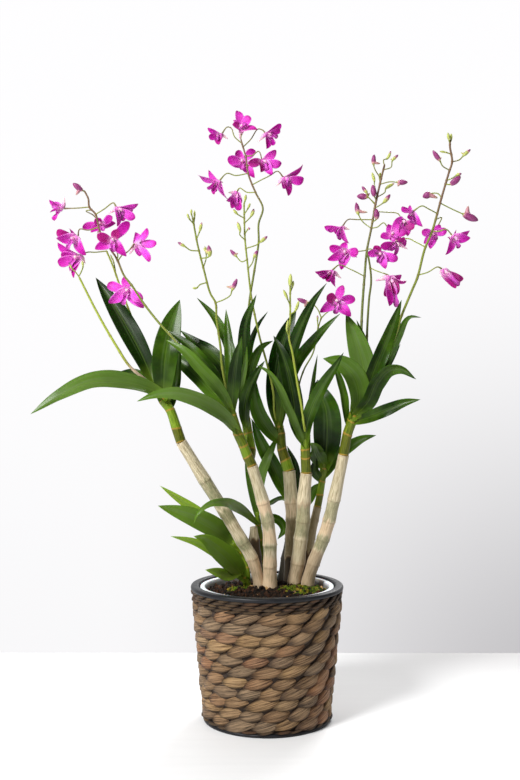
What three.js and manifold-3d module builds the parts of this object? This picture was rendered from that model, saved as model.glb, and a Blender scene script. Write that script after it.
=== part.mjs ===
// A dendrobium orchid in its pot: a clump of papery canes with leafy green tops, eleven flower spikes with
// buds and open blooms, standing in potting mix in a white nursery pot, inside a black liner with a woven
// basket round it. Millimetres, +Z up, the origin on the surface under the middle of the pot, +Y to the back.
import * as THREE from 'three';
import { mergeVertices } from 'three/addons/utils/BufferGeometryUtils.js';
import Module from 'manifold-3d';

const wasm = await Module();
wasm.setup();

// ---- Driving dimensions ----
const GAP = 0.3; // left between any two pieces that touch
const STRANDS_A_ROW = 18; // in the basket's weave
const STRAND_ROWS = 11;
const SEGMENTS = 2 * STRANDS_A_ROW; // facets round the pots and the basket

const LINER_HEIGHT = 127; // to the top of the black rolled rim
const LINER_RIM = 72.5; // outer radius of that rim
const RIM_DEPTH = 6; // of the rolled rim, below its top
const LINER_WALL = 1.2;
const FOOT_RING = 60.6; // outer radius of the liner's foot, which the basket stands on
const FOOT_RING_HEIGHT = 3;

const BASKET_FOOT = 60; // mean outer radius of the basket at its foot
const BASKET_MOUTH = 70.2; // and just under the liner's rim
const BASKET_WALL = 4;
const STRAND_RELIEF = 1.5; // of a strand's back above the hollow at its ends

const POT_TOP = 125.6; // of the white nursery pot's lip
const POT_LIP = 64; // outer radius of the lip
const POT_LIP_DEPTH = 6;
const POT_MOUTH = 58.2; // inner radius of the lip
const POT_FOOT = 47;
const POT_WALL = 1;

const SOIL_EDGE = 117; // height of the potting mix at the wall
const SOIL_MOUND = 4.5; // more at the middle
const ROOTED = 22; // depth that canes and shoots stand in the mix

const CANE_SIDES = 8;
const NECK_SIDES = 6;
const HOLE_SIDES = 6;
const STEM_SIDES = 4;
const BLADE = 1.5; // thickness of a leaf along its midrib, falling to its edges
const LEAF_FOLD = 0.24; // rise of a leaf's edges over its midrib, as a share of half its width
const STALK = 0.5; // radius of the stalk of a bud or a bloom
const SOCKET_FIT = 0.4; // more than a stem's radius in the hole that it stands in
const LONG_LEAF = 110; // a leaf over this length has one more ring of points

// A bloom's sepals, petals and lip, clockwise: degrees from its upper side, length, width, how far its edges
// fold up as a share of half its width, and its spread from the way that the bloom faces, as a share of the
// bloom's own.
const TEPALS = [
  [0, 17.5, 9, 0.2, 1],
  [68, 17, 8, 0.2, 1],
  [136, 17.5, 9, 0.2, 1],
  [180, 10, 6, 0.7, 0.6],
  [224, 17.5, 9, 0.2, 1],
  [292, 17, 8, 0.2, 1],
];
const TEPAL_THICKNESS = 1.4;
const NOTCH = 3; // from a bloom's middle to where neighbours part
const RECURVE = 2; // that a tip bends back
const COLUMN = 3.5; // height of the point in a bloom's middle
const CHIN = 6; // from a bloom's middle back to the end of its stalk

// ---- Where things grow ----
// A place is [across, up, depth]: across and up as someone sees them who stands at EYE and looks level along
// +Y, measured on the plane of the pot's middle, and depth behind that plane. `placed` turns it into X, Y, Z.
const EYE = new THREE.Vector3(-6.7, -970, 311);

// The canes' papery parts from the soil to their upper ends: a node at each place, with its radius.
const CANES = {
  a: [[-7.6, 126.7, 9, 5.4], [-14.2, 150.5, 7, 5.9], [-22.8, 165.7, 6, 6.1], [-38.5, 192.3, 4, 6.2],
    [-58.9, 224.6, 0, 6.1], [-81.7, 261.6, -5, 5.2]],
  b: [[2.6, 123.9, 2, 6.8], [2.8, 143.8, 1, 6.6], [2.8, 163.8, -2, 6.5], [0.5, 186.6, -5, 6.2],
    [-3.8, 203.7, -8, 6.1], [-14.2, 238.8, -13, 5.2]],
  c: [[20.9, 129.6, 34, 5.4], [22.3, 152.4, 34, 6], [23.3, 173.3, 35, 6.4], [24.2, 186.6, 35, 6.7],
    [23.3, 203.7, 35, 6.8], [20.9, 234.1, 34, 6.3]],
  d: [[25.6, 128.6, 20, 6.2], [29.1, 146.1, 19, 6.9], [31.9, 169.1, 18, 6.9], [34.2, 186.6, 16, 6.8],
    [34.8, 203.7, 13, 6.7], [37.3, 232.2, 8, 5.6]],
  e: [[38.5, 126.7, 14, 6.2], [44, 146.1, 11, 6.2], [53.2, 169.1, 7, 6.2], [58.9, 186.6, 4, 6.1],
    [63.6, 206.5, 1, 6], [72.8, 249.3, -6, 5.2]],
  f: [[35.9, 130.5, 33, 4.2], [39.4, 151.9, 33, 4.2], [41.7, 169.1, 34, 4.1], [45.1, 186.6, 35, 4],
    [48, 199.9, 35, 4]],
  g: [[-8.5, 130.5, 36, 4.6], [-10.4, 152.4, 37, 5.2], [-12.3, 167.6, 36, 5.4], [-12.8, 180.9, 35, 3.6]],
  h: [[15.2, 130.5, 46, 5], [18.1, 149.5, 47.5, 5.4], [21.8, 168.5, 49, 5], [24.7, 187.5, 50, 4.6],
    [25.6, 198, 50, 4.2]],
};
// Their green necks above that, which carry the leaves.
const NECKS = {
  a: [[-81.7, 261.6, -5, 4.9], [-87.4, 282.5, -7, 4.6], [-92.1, 292, -8, 4.4], [-98.8, 301.5, -8, 4.6],
    [-106.4, 314.8, -8, 3.2]],
  b: [[-14.2, 238.8, -13, 4.9], [-18.7, 248.6, -14, 5], [-22.8, 258.8, -16, 4.6],
    [-27.5, 269.2, -17, 4.6], [-33.2, 288.2, -20, 4], [-37.5, 304.4, -22, 2.4]],
  c: [[20.9, 234.1, 34, 5.8], [17.5, 244.5, 34, 5.6], [14.1, 255.5, 34, 4.8], [12.9, 269.2, 34, 4.6],
    [11.4, 276.8, 33, 4.2], [9.5, 287.3, 32, 2.8]],
  d: [[37.3, 232.2, 8, 5], [36.5, 247.4, 5, 4.6], [36.6, 255, 3, 4.8], [37, 267.3, 1, 4.2],
    [37, 278.7, -1, 2.8]],
  e: [[72.8, 249.3, -6, 4.8], [76.5, 269.2, -9, 4.6], [80.8, 281.6, -11, 4.6], [82.2, 287.3, -12, 4.4],
    [84.5, 297.7, -12, 2.8]],
  f: [[48, 199.9, 35, 3.7], [50.3, 211.3, 34, 3.5], [52.2, 224.6, 32, 3.5], [54.1, 237.9, 29, 3.8],
    [55.1, 246.4, 27, 2.6]],
  h: [[25.6, 198, 50, 3.8], [26.6, 205.6, 49, 3.4], [27.5, 213.2, 48, 2.2]],
};
// The side growth that forks off the neck of cane b.
const FORK = [[-15.6, 244, -12, 3.4], [-15.2, 253.1, -4, 4.6], [-18.1, 269.2, 4, 4.6],
  [-19.9, 282.5, 5, 4.2], [-21.8, 297.7, 4, 2.6]];
// Young green shoots that come straight out of the mix, each with one or more stems.
const SHOOTS = {
  left: [
    [[-19, 124.8, 10, 3.4], [-22.8, 134.3, 6, 3.2], [-29.4, 142.9, 0, 2.4]],
    [[-18, 124.8, 12, 2.8], [-19.5, 142.9, 17, 2.4], [-25.6, 156.2, 18, 2.2], [-32.3, 165.7, 17, 1.8]],
  ],
  back: [
    [[-5.7, 131.5, 50, 3], [-5.7, 149.5, 48, 3.4], [-6.6, 168.5, 45, 3.4], [-8.5, 183.7, 42, 3],
      [-9.5, 195.1, 40, 2]],
  ],
};
// Leaves: what they grow on, width, roll in degrees at foot and tip (0 turns the upper side to the front),
// and the midrib from foot to tip.
const LEAVES = [
  ['a', 20, 38, 38, [[-96, 300, -8], [-104, 308, -15], [-129, 317, -28], [-165, 319, -42],
    [-197, 305, -49], [-225, 288, -52]]],
  ['a', 12, 30, 30, [[-99, 303, -5], [-123, 325, 17], [-150, 324, 31]]],
  ['a', 25, 10, 10, [[-107, 314, -8], [-120, 346, -1], [-141, 384, 9], [-163, 418, 19]]],
  ['a', 24, 0, 0, [[-98, 302, -9], [-97, 340, -18], [-92, 368, -14], [-83, 397, -7]]],
  ['a', 9, -20, -20, [[-91, 290, -6], [-86, 316, 2], [-84, 344, 5], [-83, 360, 6]]],
  ['b', 15, 25, 25, [[-28, 270, -17], [-40, 285, -39], [-64, 300, -60], [-87, 307, -70],
    [-106, 306, -73], [-124, 300, -73]]],
  ['b', 12, 20, 20, [[-33, 290, -20], [-40, 303, -34], [-51, 318, -44], [-64, 332, -47],
    [-79, 348, -44], [-97, 359, -37]]],
  ['b', 10, 20, 20, [[-36, 302, -21], [-51, 326, -26], [-64, 342, -28], [-78, 356, -23],
    [-96, 368, -16]]],
  ['b', 14, 20, 20, [[-36, 302, -21], [-41, 330, -7], [-52, 345, 4], [-68, 356, 15], [-83, 368, 22]]],
  ['b', 9, -10, -10, [[-35, 297, -20], [-43, 324, 0], [-59, 343, 14], [-75, 358, 24]]],
  ['b', 17, 10, 10, [[-34, 291, -20], [-51, 309, -3], [-66, 325, 11], [-83, 339, 21], [-99, 349, 31]]],
  ['b', 11, 20, 20, [[-35, 297, -20], [-33, 330, 0], [-39, 359, 14], [-50, 380, 24], [-67, 399, 31]]],
  ['b', 10, -10, -10, [[-35, 297, -21], [-35, 335, -11], [-37, 363, -4], [-39, 388, 3]]],
  ['b', 13, 20, 20, [[-33, 290, -20], [-32, 321, -37], [-28, 347, -46], [-24, 362, -49]]],
  ['b', 13, 0, 0, [[-22, 284, 5], [-23, 316, -4], [-22, 349, -7], [-20, 376, -10], [-10, 402, -12]]],
  ['b', 7, 20, 20, [[-20, 278, 5], [-25, 313, -17], [-21, 335, -24], [-19, 353, -26]]],
  ['b', 10, 50, 50, [[-21, 287, 5], [-20, 330, 20], [-16, 356, 29], [-9, 373, 35], [1, 386, 39]]],
  ['b', 12, 35, 35, [[-21, 287, 5], [-18, 321, -4], [-13, 340, -7], [-6, 352, -4], [6, 358, 3]]],
  ['b', 12, -20, -20, [[-19, 271, 4], [-21, 290, -10], [-18, 309, -20], [-11, 325, -23], [-2, 339, -23]]],
  ['c', 15, 10, 10, [[13, 260, 34], [3, 271, 28], [-8, 288, 20], [-12, 305, 16], [-11, 322, 14]]],
  ['c', 20, 0, 0, [[11, 275, 33], [8, 302, 24], [10, 330, 18], [15, 357, 14], [28, 388, 18]]],
  ['c', 13, -15, -15, [[11, 275, 33], [14, 302, 18], [19, 332, 1], [30, 366, -10], [44, 395, -16],
    [57, 413, -20]]],
  ['c', 12, -15, -15, [[12, 273, 34], [18, 309, 20], [28, 336, 10], [42, 355, 0], [56, 371, -7],
    [70, 384, -10]]],
  ['d', 13, -20, -20, [[36, 256, 3], [38, 278, -12], [45, 299, -26], [54, 316, -36], [65, 333, -43],
    [73, 347, -46]]],
  ['d', 17, 15, 15, [[35, 256, 3], [28, 278, -2], [25, 302, -9], [20, 327, -12], [14, 346, -9],
    [6, 363, -2]]],
  ['d', 9, 30, 30, [[35, 255, 2], [26, 279, -15], [18, 298, -24], [10, 315, -29], [1, 328, -29],
    [-11, 335, -25]]],
  ['d', 9, 55, 55, [[37, 258, 3], [39, 283, 12], [41, 306, 15], [44, 325, 18], [48, 345, 22]]],
  ['e', 23, 0, 0, [[83, 287, -12], [90, 309, -5], [92, 330, 0], [86, 354, 3], [75, 384, 8]]],
  ['e', 21, 10, 10, [[84, 285, -13], [88, 303, -20], [84, 322, -24], [71, 336, -26], [53, 341, -26]]],
  ['e', 15, 10, 10, [[83, 287, -12], [94, 309, -12], [104, 335, -11], [117, 366, -8], [128, 397, -6]]],
  ['e', 11, 0, 0, [[84, 289, -11], [98, 311, 11], [113, 338, 25], [125, 363, 30], [135, 380, 32],
    [147, 380, 28]]],
  ['e', 9, 40, 40, [[84, 292, -11], [105, 321, 18], [118, 340, 28], [127, 355, 35]]],
  ['e', 16, 0, 50, [[83, 284, -12], [96, 300, -32], [104, 318, -43], [115, 330, -49], [128, 331, -56],
    [142, 321, -60]]],
  ['e', 12, -20, -20, [[81, 279, -11], [103, 287, -30], [119, 294, -38], [132, 299, -43],
    [146, 302, -47]]],
  ['e', 10, 10, 10, [[84, 290, -11], [96, 328, 14], [93, 354, 21], [85, 378, 21]]],
  ['e', 9, 30, 30, [[77, 272, -9], [74, 292, -4], [72, 309, 0], [66, 328, 3], [60, 341, 6]]],
  ['f', 16, 0, 0, [[53, 238, 29], [48, 249, 14], [45, 257, 0], [41, 261, -7]]],
  ['f', 27, 0, 0, [[54, 239, 28], [57, 265, 11], [56, 292, 4], [50, 309, 8], [48, 321, 18]]],
  ['f', 12, -20, -20, [[52, 225, 32], [64, 243, 29], [76, 255, 25], [90, 264, 22], [104, 268, 18]]],
  ['f', 9, 0, 0, [[51, 224, 32], [45, 235, 22], [47, 247, 15]]],
  ['f', 9, 0, 0, [[51, 222, 32], [44, 215, 35], [39, 200, 39]]],
  ['h', 15, 10, 10, [[26, 201, 50], [15, 218, 49], [6, 238, 44], [-4, 256, 38], [-15, 284, 30]]],
  ['h', 10, 70, 70, [[26, 201, 50], [14, 207, 53], [3, 202, 60], [-10, 194, 64]]],
  ['h', 9, -30, -30, [[27, 205, 49], [29, 221, 47], [27, 240, 44], [19, 258, 44]]],
  ['left', 9, 20, 20, [[-23, 132, 6], [-33, 142, -8], [-50, 156, -18], [-68, 166, -25], [-92, 172, -28]]],
  ['left', 20, 15, 15, [[-22, 132, 7], [-33, 147, -12], [-47, 160, -29], [-59, 169, -42],
    [-70, 172, -49]]],
  ['left', 20, 15, 15, [[-26, 156, 18], [-34, 168, 16], [-50, 180, 1], [-73, 191, -13],
    [-104, 201, -23]]],
  ['left', 10, 20, 20, [[-29, 162, 17], [-49, 180, 14], [-66, 195, 10], [-85, 208, 8], [-102, 220, 8]]],
  ['left', 11, 20, 20, [[-26, 137, 3], [-37, 135, -12], [-49, 138, -26], [-59, 140, -33]]],
  ['back', 9, 0, 0, [[-10, 188, 41], [-12, 207, 36], [-16, 226, 32], [-21, 247, 29]]],
  ['back', 10, 20, 20, [[-9, 182, 42], [-19, 193, 22], [-29, 200, -12], [-41, 204, -50],
    [-55, 202, -63], [-66, 193, -67], [-70, 183, -67]]],
  ['back', 9, 10, 10, [[-9, 184, 42], [3, 190, 42], [12, 187, 45], [16, 178, 49], [10, 169, 49]]],
  ['back', 10, -10, -10, [[-10, 191, 41], [-6, 227, 36], [1, 247, 36], [11, 269, 43]]],
];
// The spikes' stems, 1 to 11: radius at the foot, and the way up.
const STEMS = [
  [0.9, [[-108, 313, -9], [-113, 320, -16], [-129, 334, -24], [-140, 354, -26], [-158, 378, -26],
    [-168, 397, -28], [-176, 408, -31], [-179, 419, -34]]],
  [0.9, [[-105, 311, -6], [-110, 338, 7], [-122, 362, 13], [-129, 381, 17], [-134, 394, 17],
    [-141, 413, 16], [-147, 430, 14], [-153, 444, 9]]],
  [1.05, [[-34, 294, -21], [-41, 305, -34], [-51, 320, -41], [-64, 334, -43], [-79, 348, -41],
    [-90, 361, -37], [-102, 374, -34], [-117, 393, -30], [-129, 411, -31], [-136, 420, -31],
    [-143, 436, -30], [-149, 445, -29], [-159, 462, -28], [-163, 478, -29], [-169, 485, -30],
    [-170, 493, -31], [-174, 501, -32]]],
  [1.1, [[-20, 279, 5], [-19, 302, 7], [-18, 340, 9], [-18, 368, 17], [-17, 393, 26], [-12, 425, 37],
    [-8, 452, 44], [-8, 469, 48], [-4, 484, 49], [-11, 499, 50], [-18, 517, 51], [-20, 532, 54],
    [-24, 546, 57], [-25, 550, 58]]],
  [1.0, [[11, 273, 34], [7, 290, 26], [6, 309, 15], [1, 332, 11], [-7, 361, 12], [-11, 379, 13],
    [-15, 400, 13], [-19, 435, 16], [-21, 455, 18], [-22, 490, 21]]],
  [1.0, [[-36, 297, -20], [-39, 313, -25], [-43, 335, -29], [-44, 349, -30], [-48, 379, -34],
    [-49, 394, -36], [-54, 403, -36], [-60, 425, -40], [-66, 449, -45], [-71, 476, -52]]],
  [1.0, [[37, 266, 0], [35, 279, -13], [33, 294, -18], [29, 316, -21], [24, 347, -24], [21, 360, -26],
    [22, 379, -30], [22, 399, -34], [22, 414, -37]]],
  [0.8, [[36, 267, 2], [30, 292, 10], [30, 313, 16], [35, 330, 20], [44, 347, 23], [48, 368, 18],
    [52, 381, 13]]],
  [1.2, [[84, 294, -11], [89, 309, 8], [93, 330, 22], [90, 354, 29], [90, 378, 34], [93, 423, 42],
    [95, 444, 46], [99, 464, 49], [103, 487, 53], [109, 514, 57], [112, 526, 60]]],
  [1.15, [[83, 291, -11], [90, 303, 10], [97, 325, 22], [95, 354, 28], [97, 397, 33], [99, 414, 33],
    [98, 428, 33], [95, 444, 33]]],
  [1.15, [[85, 296, -12], [100, 313, 3], [112, 340, 7], [124, 368, 4], [127, 379, 1],
    [138, 406, -8], [143, 418, -14], [150, 445, -18], [157, 462, -21], [166, 494, -26],
    [173, 518, -29], [176, 528, -31], [174, 542, -33], [174, 549, -34]]],
];
// Buds: spike, radius, and the way from the stem to the bud's foot and its tip.
const BUDS = [
  [1, 1.1, [[-179, 419, -34], [-182, 423, -35], [-186, 427, -36], [-188, 432, -36]]],
  [1, 1.1, [[-179, 419, -34], [-176, 425, -35], [-175, 429, -36], [-176, 434, -36]]],
  [2, 0.9, [[-143, 420, 15], [-146, 433, 19], [-149, 440, 20]]],
  [3, 3.3, [[-173, 500, -32], [-177, 502, -33], [-185, 508, -36]]],
  [5, 1.5, [[-22, 486, 21], [-21, 491, 21], [-20, 497, 22]]],
  [5, 1.2, [[-21, 478, 20], [-18, 484, 18], [-16, 489, 18]]],
  [5, 1.5, [[-22, 474, 19], [-28, 478, 16], [-32, 483, 14]]],
  [5, 1.6, [[-21, 469, 19], [-16, 476, 22], [-12, 483, 23]]],
  [5, 1.5, [[-21, 454, 17], [-26, 459, 14], [-27, 464, 13], [-28, 471, 13]]],
  [5, 1.3, [[-21, 459, 18], [-18, 464, 13], [-16, 465, 12]]],
  [5, 1.6, [[-19, 446, 17], [-10, 449, 12], [-5, 453, 11], [0, 457, 11]]],
  [5, 1.7, [[-19, 435, 16], [-24, 433, 18], [-28, 437, 21], [-34, 444, 22]]],
  [6, 1.2, [[-71, 474, -52], [-72, 479, -53], [-72, 483, -54]]],
  [6, 1.2, [[-70, 469, -50], [-74, 474, -54], [-76, 479, -56]]],
  [6, 1.2, [[-70, 469, -50], [-69, 475, -49], [-69, 482, -50]]],
  [6, 1.4, [[-67, 454, -46], [-64, 463, -51], [-62, 471, -54]]],
  [6, 1.7, [[-66, 443, -44], [-73, 444, -46], [-78, 448, -48], [-85, 451, -50]]],
  [6, 2.2, [[-63, 436, -42], [-59, 439, -46], [-56, 442, -48], [-55, 449, -51]]],
  [6, 1.3, [[-61, 427, -41], [-58, 436, -39], [-58, 442, -38], [-59, 448, -39]]],
  [6, 0.8, [[-58, 413, -38], [-64, 411, -40], [-67, 408, -40], [-71, 408, -41]]],
  [6, 2.2, [[-49, 394, -36], [-41, 397, -39], [-35, 401, -42], [-33, 406, -44], [-28, 416, -48]]],
  [7, 2.2, [[22, 410, -36], [22, 415, -37], [22, 422, -38]]],
  [7, 1.2, [[22, 403, -35], [24, 409, -34], [25, 415, -34]]],
  [7, 1.3, [[22, 391, -32], [19, 398, -36], [16, 406, -38]]],
  [7, 1.4, [[22, 383, -31], [28, 389, -35], [30, 396, -37]]],
  [7, 1.2, [[22, 362, -26], [19, 367, -29], [20, 378, -34]]],
  [8, 1.9, [[51, 380, 14], [48, 388, 13], [43, 393, 12], [38, 394, 12], [29, 398, 12]]],
  [8, 0.8, [[49, 370, 18], [48, 378, 16], [48, 382, 15]]],
  [9, 1.3, [[112, 524, 59], [111, 530, 62], [113, 532, 63], [117, 538, 64]]],
  [9, 1.4, [[112, 520, 58], [118, 523, 56], [121, 528, 56], [124, 534, 56]]],
  [9, 2.4, [[107, 507, 56], [117, 509, 52], [124, 509, 50], [133, 509, 48]]],
  [9, 1.6, [[104, 495, 54], [112, 499, 58], [115, 503, 60], [121, 507, 62]]],
  [9, 1.9, [[103, 484, 52], [109, 490, 49], [112, 492, 48], [117, 497, 48]]],
  [9, 1.2, [[107, 508, 56], [107, 513, 60], [108, 518, 62]]],
  [9, 1.4, [[104, 496, 54], [102, 507, 61], [101, 512, 63], [100, 518, 65]]],
  [9, 2.0, [[108, 512, 57], [103, 520, 53], [101, 526, 53], [102, 534, 53]]],
  [9, 2.4, [[104, 492, 53], [102, 496, 50], [100, 504, 51]]],
  [9, 2.6, [[103, 487, 53], [96, 492, 58], [93, 495, 60], [86, 496, 62]]],
  [9, 1.8, [[103, 488, 53], [96, 495, 51], [94, 499, 51], [90, 504, 51]]],
  [9, 2.4, [[99, 465, 49], [91, 471, 54], [87, 479, 56], [85, 489, 60]]],
  [9, 2.3, [[101, 471, 50], [103, 474, 45], [104, 483, 45]]],
  [11, 1.4, [[174, 545, -33], [173, 549, -35], [172, 556, -36]]],
  [11, 1.3, [[174, 545, -33], [175, 549, -32], [175, 555, -32]]],
  [11, 0.8, [[175, 535, -32], [170, 537, -31], [164, 538, -31]]],
  [11, 2.4, [[173, 520, -30], [167, 524, -33], [162, 530, -35], [158, 538, -37]]],
  [11, 1.7, [[176, 528, -31], [183, 530, -29], [187, 534, -29], [193, 540, -28]]],
  [11, 2.8, [[170, 507, -28], [175, 510, -32], [178, 511, -33], [184, 516, -35]]],
  [11, 2.3, [[166, 494, -26], [162, 498, -23], [156, 499, -21], [149, 495, -20]]],
  [11, 3.4, [[164, 489, -25], [176, 483, -22], [186, 478, -20], [200, 473, -18]]],
];
// Blooms: spike, middle, the way it faces, spin, spread of the petals from that way in degrees, size, and the
// stalk's way from the stem.
const BLOOMS = [
  [3, [-198, 484, -30], [-0.8, -0.55, 0.1], 15, 65, 0.9, [[-169, 485, -30], [-180, 484, -30]]],
  [3, [-140, 482, -38], [0.35, -0.55, -0.75], 0, 65, 1.0, [[-163, 478, -29], [-155, 483, -32],
    [-146, 489, -35]]],
  [3, [-158, 469, -10], [-0.45, -0.85, 0.1], -20, 75, 0.95, [[-168, 481, -30], [-172, 481, -16],
    [-165, 477, -3]]],
  [3, [-147, 453, -46], [0, -1, 0.05], 10, 80, 1.1, [[-142, 435, -31], [-142, 440, -33],
    [-145, 448, -36]]],
  [3, [-184, 455, -23], [-0.6, -0.75, -0.05], 8, 68, 1.0, [[-160, 466, -29], [-170, 463, -28],
    [-178, 464, -27]]],
  [2, [-181, 437, -5], [-0.5, -0.65, -0.5], 34, 68, 1.1, [[-153, 443, 10], [-163, 442, 7],
    [-171, 442, 3]]],
  [3, [-122, 450, -34], [0.8, 0.5, 0.3], 0, 65, 1.0, [[-142, 434, -31], [-138, 439, -31],
    [-133, 441, -32]]],
  [3, [-133, 405, -17], [0.4, -0.9, -0.1], -9, 72, 1.05, [[-129, 411, -31], [-125, 419, -18],
    [-130, 412, -8]]],
  [4, [-24, 561, 60], [0.25, -0.5, 0.8], 0, 52, 1.05, [[-24, 549, 58]]],
  [4, [-46, 553, 55], [-0.75, -0.5, -0.4], 0, 52, 0.8, [[-24, 545, 57], [-31, 552, 56], [-34, 560, 57],
    [-38, 561, 56]]],
  [4, [2, 554, 53], [0.4, -0.4, -0.75], 0, 62, 0.85, [[-23, 542, 56], [-15, 550, 66], [-9, 559, 66],
    [-4, 558, 61]]],
  [4, [-23, 528, 68], [-0.2, -0.9, 0.25], -18, 75, 1.0, [[-19, 524, 53], [-8, 527, 59], [-12, 528, 73]]],
  [4, [-3, 528, 44], [0.45, -0.85, -0.05], 10, 72, 1.0, [[-20, 533, 55], [-14, 534, 53], [-8, 538, 52]]],
  [4, [-48, 507, 41], [-0.5, -0.6, -0.6], 15, 65, 1.0, [[-18, 517, 51], [-30, 515, 49], [-38, 517, 47]]],
  [4, [19, 511, 44], [0.6, -0.7, -0.3], 20, 68, 1.0, [[-13, 507, 50], [-5, 511, 50], [3, 515, 49],
    [10, 519, 48]]],
  [4, [-29, 496, 53], [0, -0.5, -0.85], 0, 38, 0.85, [[-11, 499, 50], [-19, 499, 52], [-26, 503, 54]]],
  [9, [69, 463, 44], [-0.3, -0.5, -0.8], 0, 65, 0.95, [[100, 473, 51], [86, 473, 50], [77, 473, 48]]],
  [9, [75, 442, 39], [-0.5, -0.7, -0.45], 15, 68, 1.05, [[95, 444, 46], [88, 443, 43]]],
  [9, [60, 422, 33], [0.05, -0.5, -0.85], 0, 62, 0.9, [[92, 419, 41], [79, 426, 40], [69, 430, 39]]],
  [8, [66, 395, -8], [0.05, -1, 0.1], 10, 80, 1.1, [[51, 379, 14], [55, 383, 8], [61, 388, 3]]],
  [9, [108, 440, 27], [0.1, -0.85, -0.35], 20, 72, 1.0, [[95, 445, 46], [99, 445, 38]]],
  [9, [119, 459, 35], [0.2, -0.9, 0.1], 0, 70, 1.0, [[99, 465, 49], [105, 466, 45], [111, 470, 43]]],
  [9, [131, 471, 38], [0.4, -0.7, -0.4], 0, 65, 1.0, [[102, 481, 52], [115, 480, 54], [124, 479, 53]]],
  [11, [124, 449, -1], [0.0, -0.5, -0.85], 0, 65, 0.95, [[150, 447, -19], [141, 452, -9],
    [134, 455, -3]]],
  [10, [118, 415, 26], [0.1, -0.4, -0.9], 0, 50, 1.1, [[98, 427, 33], [105, 424, 30], [111, 422, 28]]],
  [11, [137, 478, -35], [0.2, -0.6, -0.7], 0, 65, 0.95, [[162, 479, -23], [154, 483, -29],
    [147, 486, -33]]],
  [11, [158, 459, -6], [-0.1, -0.85, -0.4], 0, 72, 0.85, [[160, 473, -22], [166, 475, -13],
    [163, 468, -2]]],
  [11, [179, 455, -24], [0.3, -0.7, -0.5], 15, 65, 0.95, [[157, 462, -21], [164, 462, -23],
    [170, 464, -24]]],
  [11, [170, 423, -19], [0.6, -0.4, -0.65], 0, 40, 1.0, [[144, 420, -14], [153, 423, -16],
    [162, 428, -18]]],
];

// ---- Making solids ----

function placed([across, up, depth]) {
  const spread = 1 + depth / -EYE.y;
  return new THREE.Vector3(EYE.x + (across - EYE.x) * spread, depth, EYE.z + (up - EYE.z) * spread);
}

const curveThrough = (points) => new THREE.CatmullRomCurve3(points, false, 'centripetal');
const radians = THREE.MathUtils.degToRad;

// The solid of a closed geometry, without the faces that a pole or a seam leaves flat.
function solidOf(geometry) {
  geometry.deleteAttribute('normal');
  geometry.deleteAttribute('uv');
  const merged = mergeVertices(geometry, 1e-4);
  const index = merged.getIndex().array;
  const faces = [];
  for (let i = 0; i < index.length; i += 3) {
    const corners = index.slice(i, i + 3);
    if (new Set(corners).size === 3) faces.push(...corners);
  }
  const vertProperties = new Float32Array(merged.getAttribute('position').array);
  return new wasm.Manifold(new wasm.Mesh({ numProp: 3, vertProperties, triVerts: new Uint32Array(faces) }));
}

function solidFrom(points, faces) {
  return solidOf(new THREE.BufferGeometry().setFromPoints(points).setIndex(faces));
}

const joined = (solids) => solids.reduce((whole, solid) => whole.add(solid));
const cutBy = (solid, cutters) => cutters.reduce((rest, cutter) => rest.subtract(cutter), solid);
const largest = (solid) => solid.decompose().sort((one, other) => other.volume() - one.volume())[0];

// A solid through closed rings of points that all turn the same way. A last ring of one point is a tip. The
// cells that `flipped` names are split along their other diagonal.
function lofted(rings, flipped = () => false) {
  const faces = [];
  const sides = rings[0].length;
  let start = 0;
  rings.slice(1).forEach((ring, row) => {
    const next = start + sides;
    for (let side = 0; side < sides; side += 1) {
      const after = (side + 1) % sides;
      if (ring.length === 1) faces.push(start + side, start + after, next);
      else if (flipped(side, row)) {
        faces.push(start + side, start + after, next + side, start + after, next + after, next + side);
      } else faces.push(start + side, start + after, next + after, start + side, next + after, next + side);
    }
    start = next;
  });
  for (let side = 1; side + 1 < sides; side += 1) {
    faces.push(0, side + 1, side);
    if (rings.at(-1).length > 1) faces.push(start, start + side, start + side + 1);
  }
  return solidFrom(rings.flat(), faces);
}

// A round rod along a curve, through stations of [share of the curve's parameter, radius].
function rod(curve, stations, sides, startTangent = curve.getTangent(0)) {
  let normal = Math.abs(startTangent.y) < 0.9 ? new THREE.Vector3(0, -1, 0) : new THREE.Vector3(0, 0, 1);
  return lofted(stations.map(([at, radius]) => {
    const middle = curve.getPoint(at);
    const tangent = at === 0 ? startTangent : curve.getTangent(at);
    normal = normal.clone().addScaledVector(tangent, -normal.dot(tangent)).normalize();
    if (radius === 0) return [middle];
    const side = tangent.clone().cross(normal);
    return Array.from({ length: sides }, (_, i) => {
      const turn = (2 * Math.PI * i) / sides;
      const out = side.clone().multiplyScalar(Math.sin(turn)).addScaledVector(normal, Math.cos(turn));
      return middle.clone().addScaledVector(out, radius);
    });
  }));
}

const evenly = (radii) => radii.map((radius, i) => [i / (radii.length - 1), radius]);

// A thin blade along a curve: four points a ring, its midrib above and below and its two edges. `widths` are
// at even steps of the curve's length, and `facing` gives the way that the upper side looks there.
const isLower = (side) => side === 1 || side === 2;

function blade(curve, widths, facing, thickness, fold) {
  return lofted(widths.map((width, step) => {
    const along = step / (widths.length - 1);
    const middle = curve.getPointAt(along);
    if (width === 0) return [middle];
    const tangent = curve.getTangentAt(along);
    const normal = facing(along, tangent);
    const side = tangent.clone().cross(normal);
    const half = width / 2;
    const spot = (sideways, upward) => middle.clone().addScaledVector(side, sideways)
      .addScaledVector(normal, upward);
    const edge = (way) => spot(way * half, fold * half);
    const rib = (way) => spot(0, (way * thickness) / 2);
    return [rib(1), edge(1), rib(-1), edge(-1)];
  }), isLower);
}

// The way a blade looks that is turned by `roll` round its tangent, from facing the front.
function rolledFacing(tangent, roll) {
  const front = new THREE.Vector3(0, -1, 0);
  front.addScaledVector(tangent, -front.dot(tangent)).normalize();
  const side = tangent.clone().cross(front);
  return front.multiplyScalar(Math.cos(roll)).addScaledVector(side, Math.sin(roll));
}

// ---- The pots ----

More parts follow.
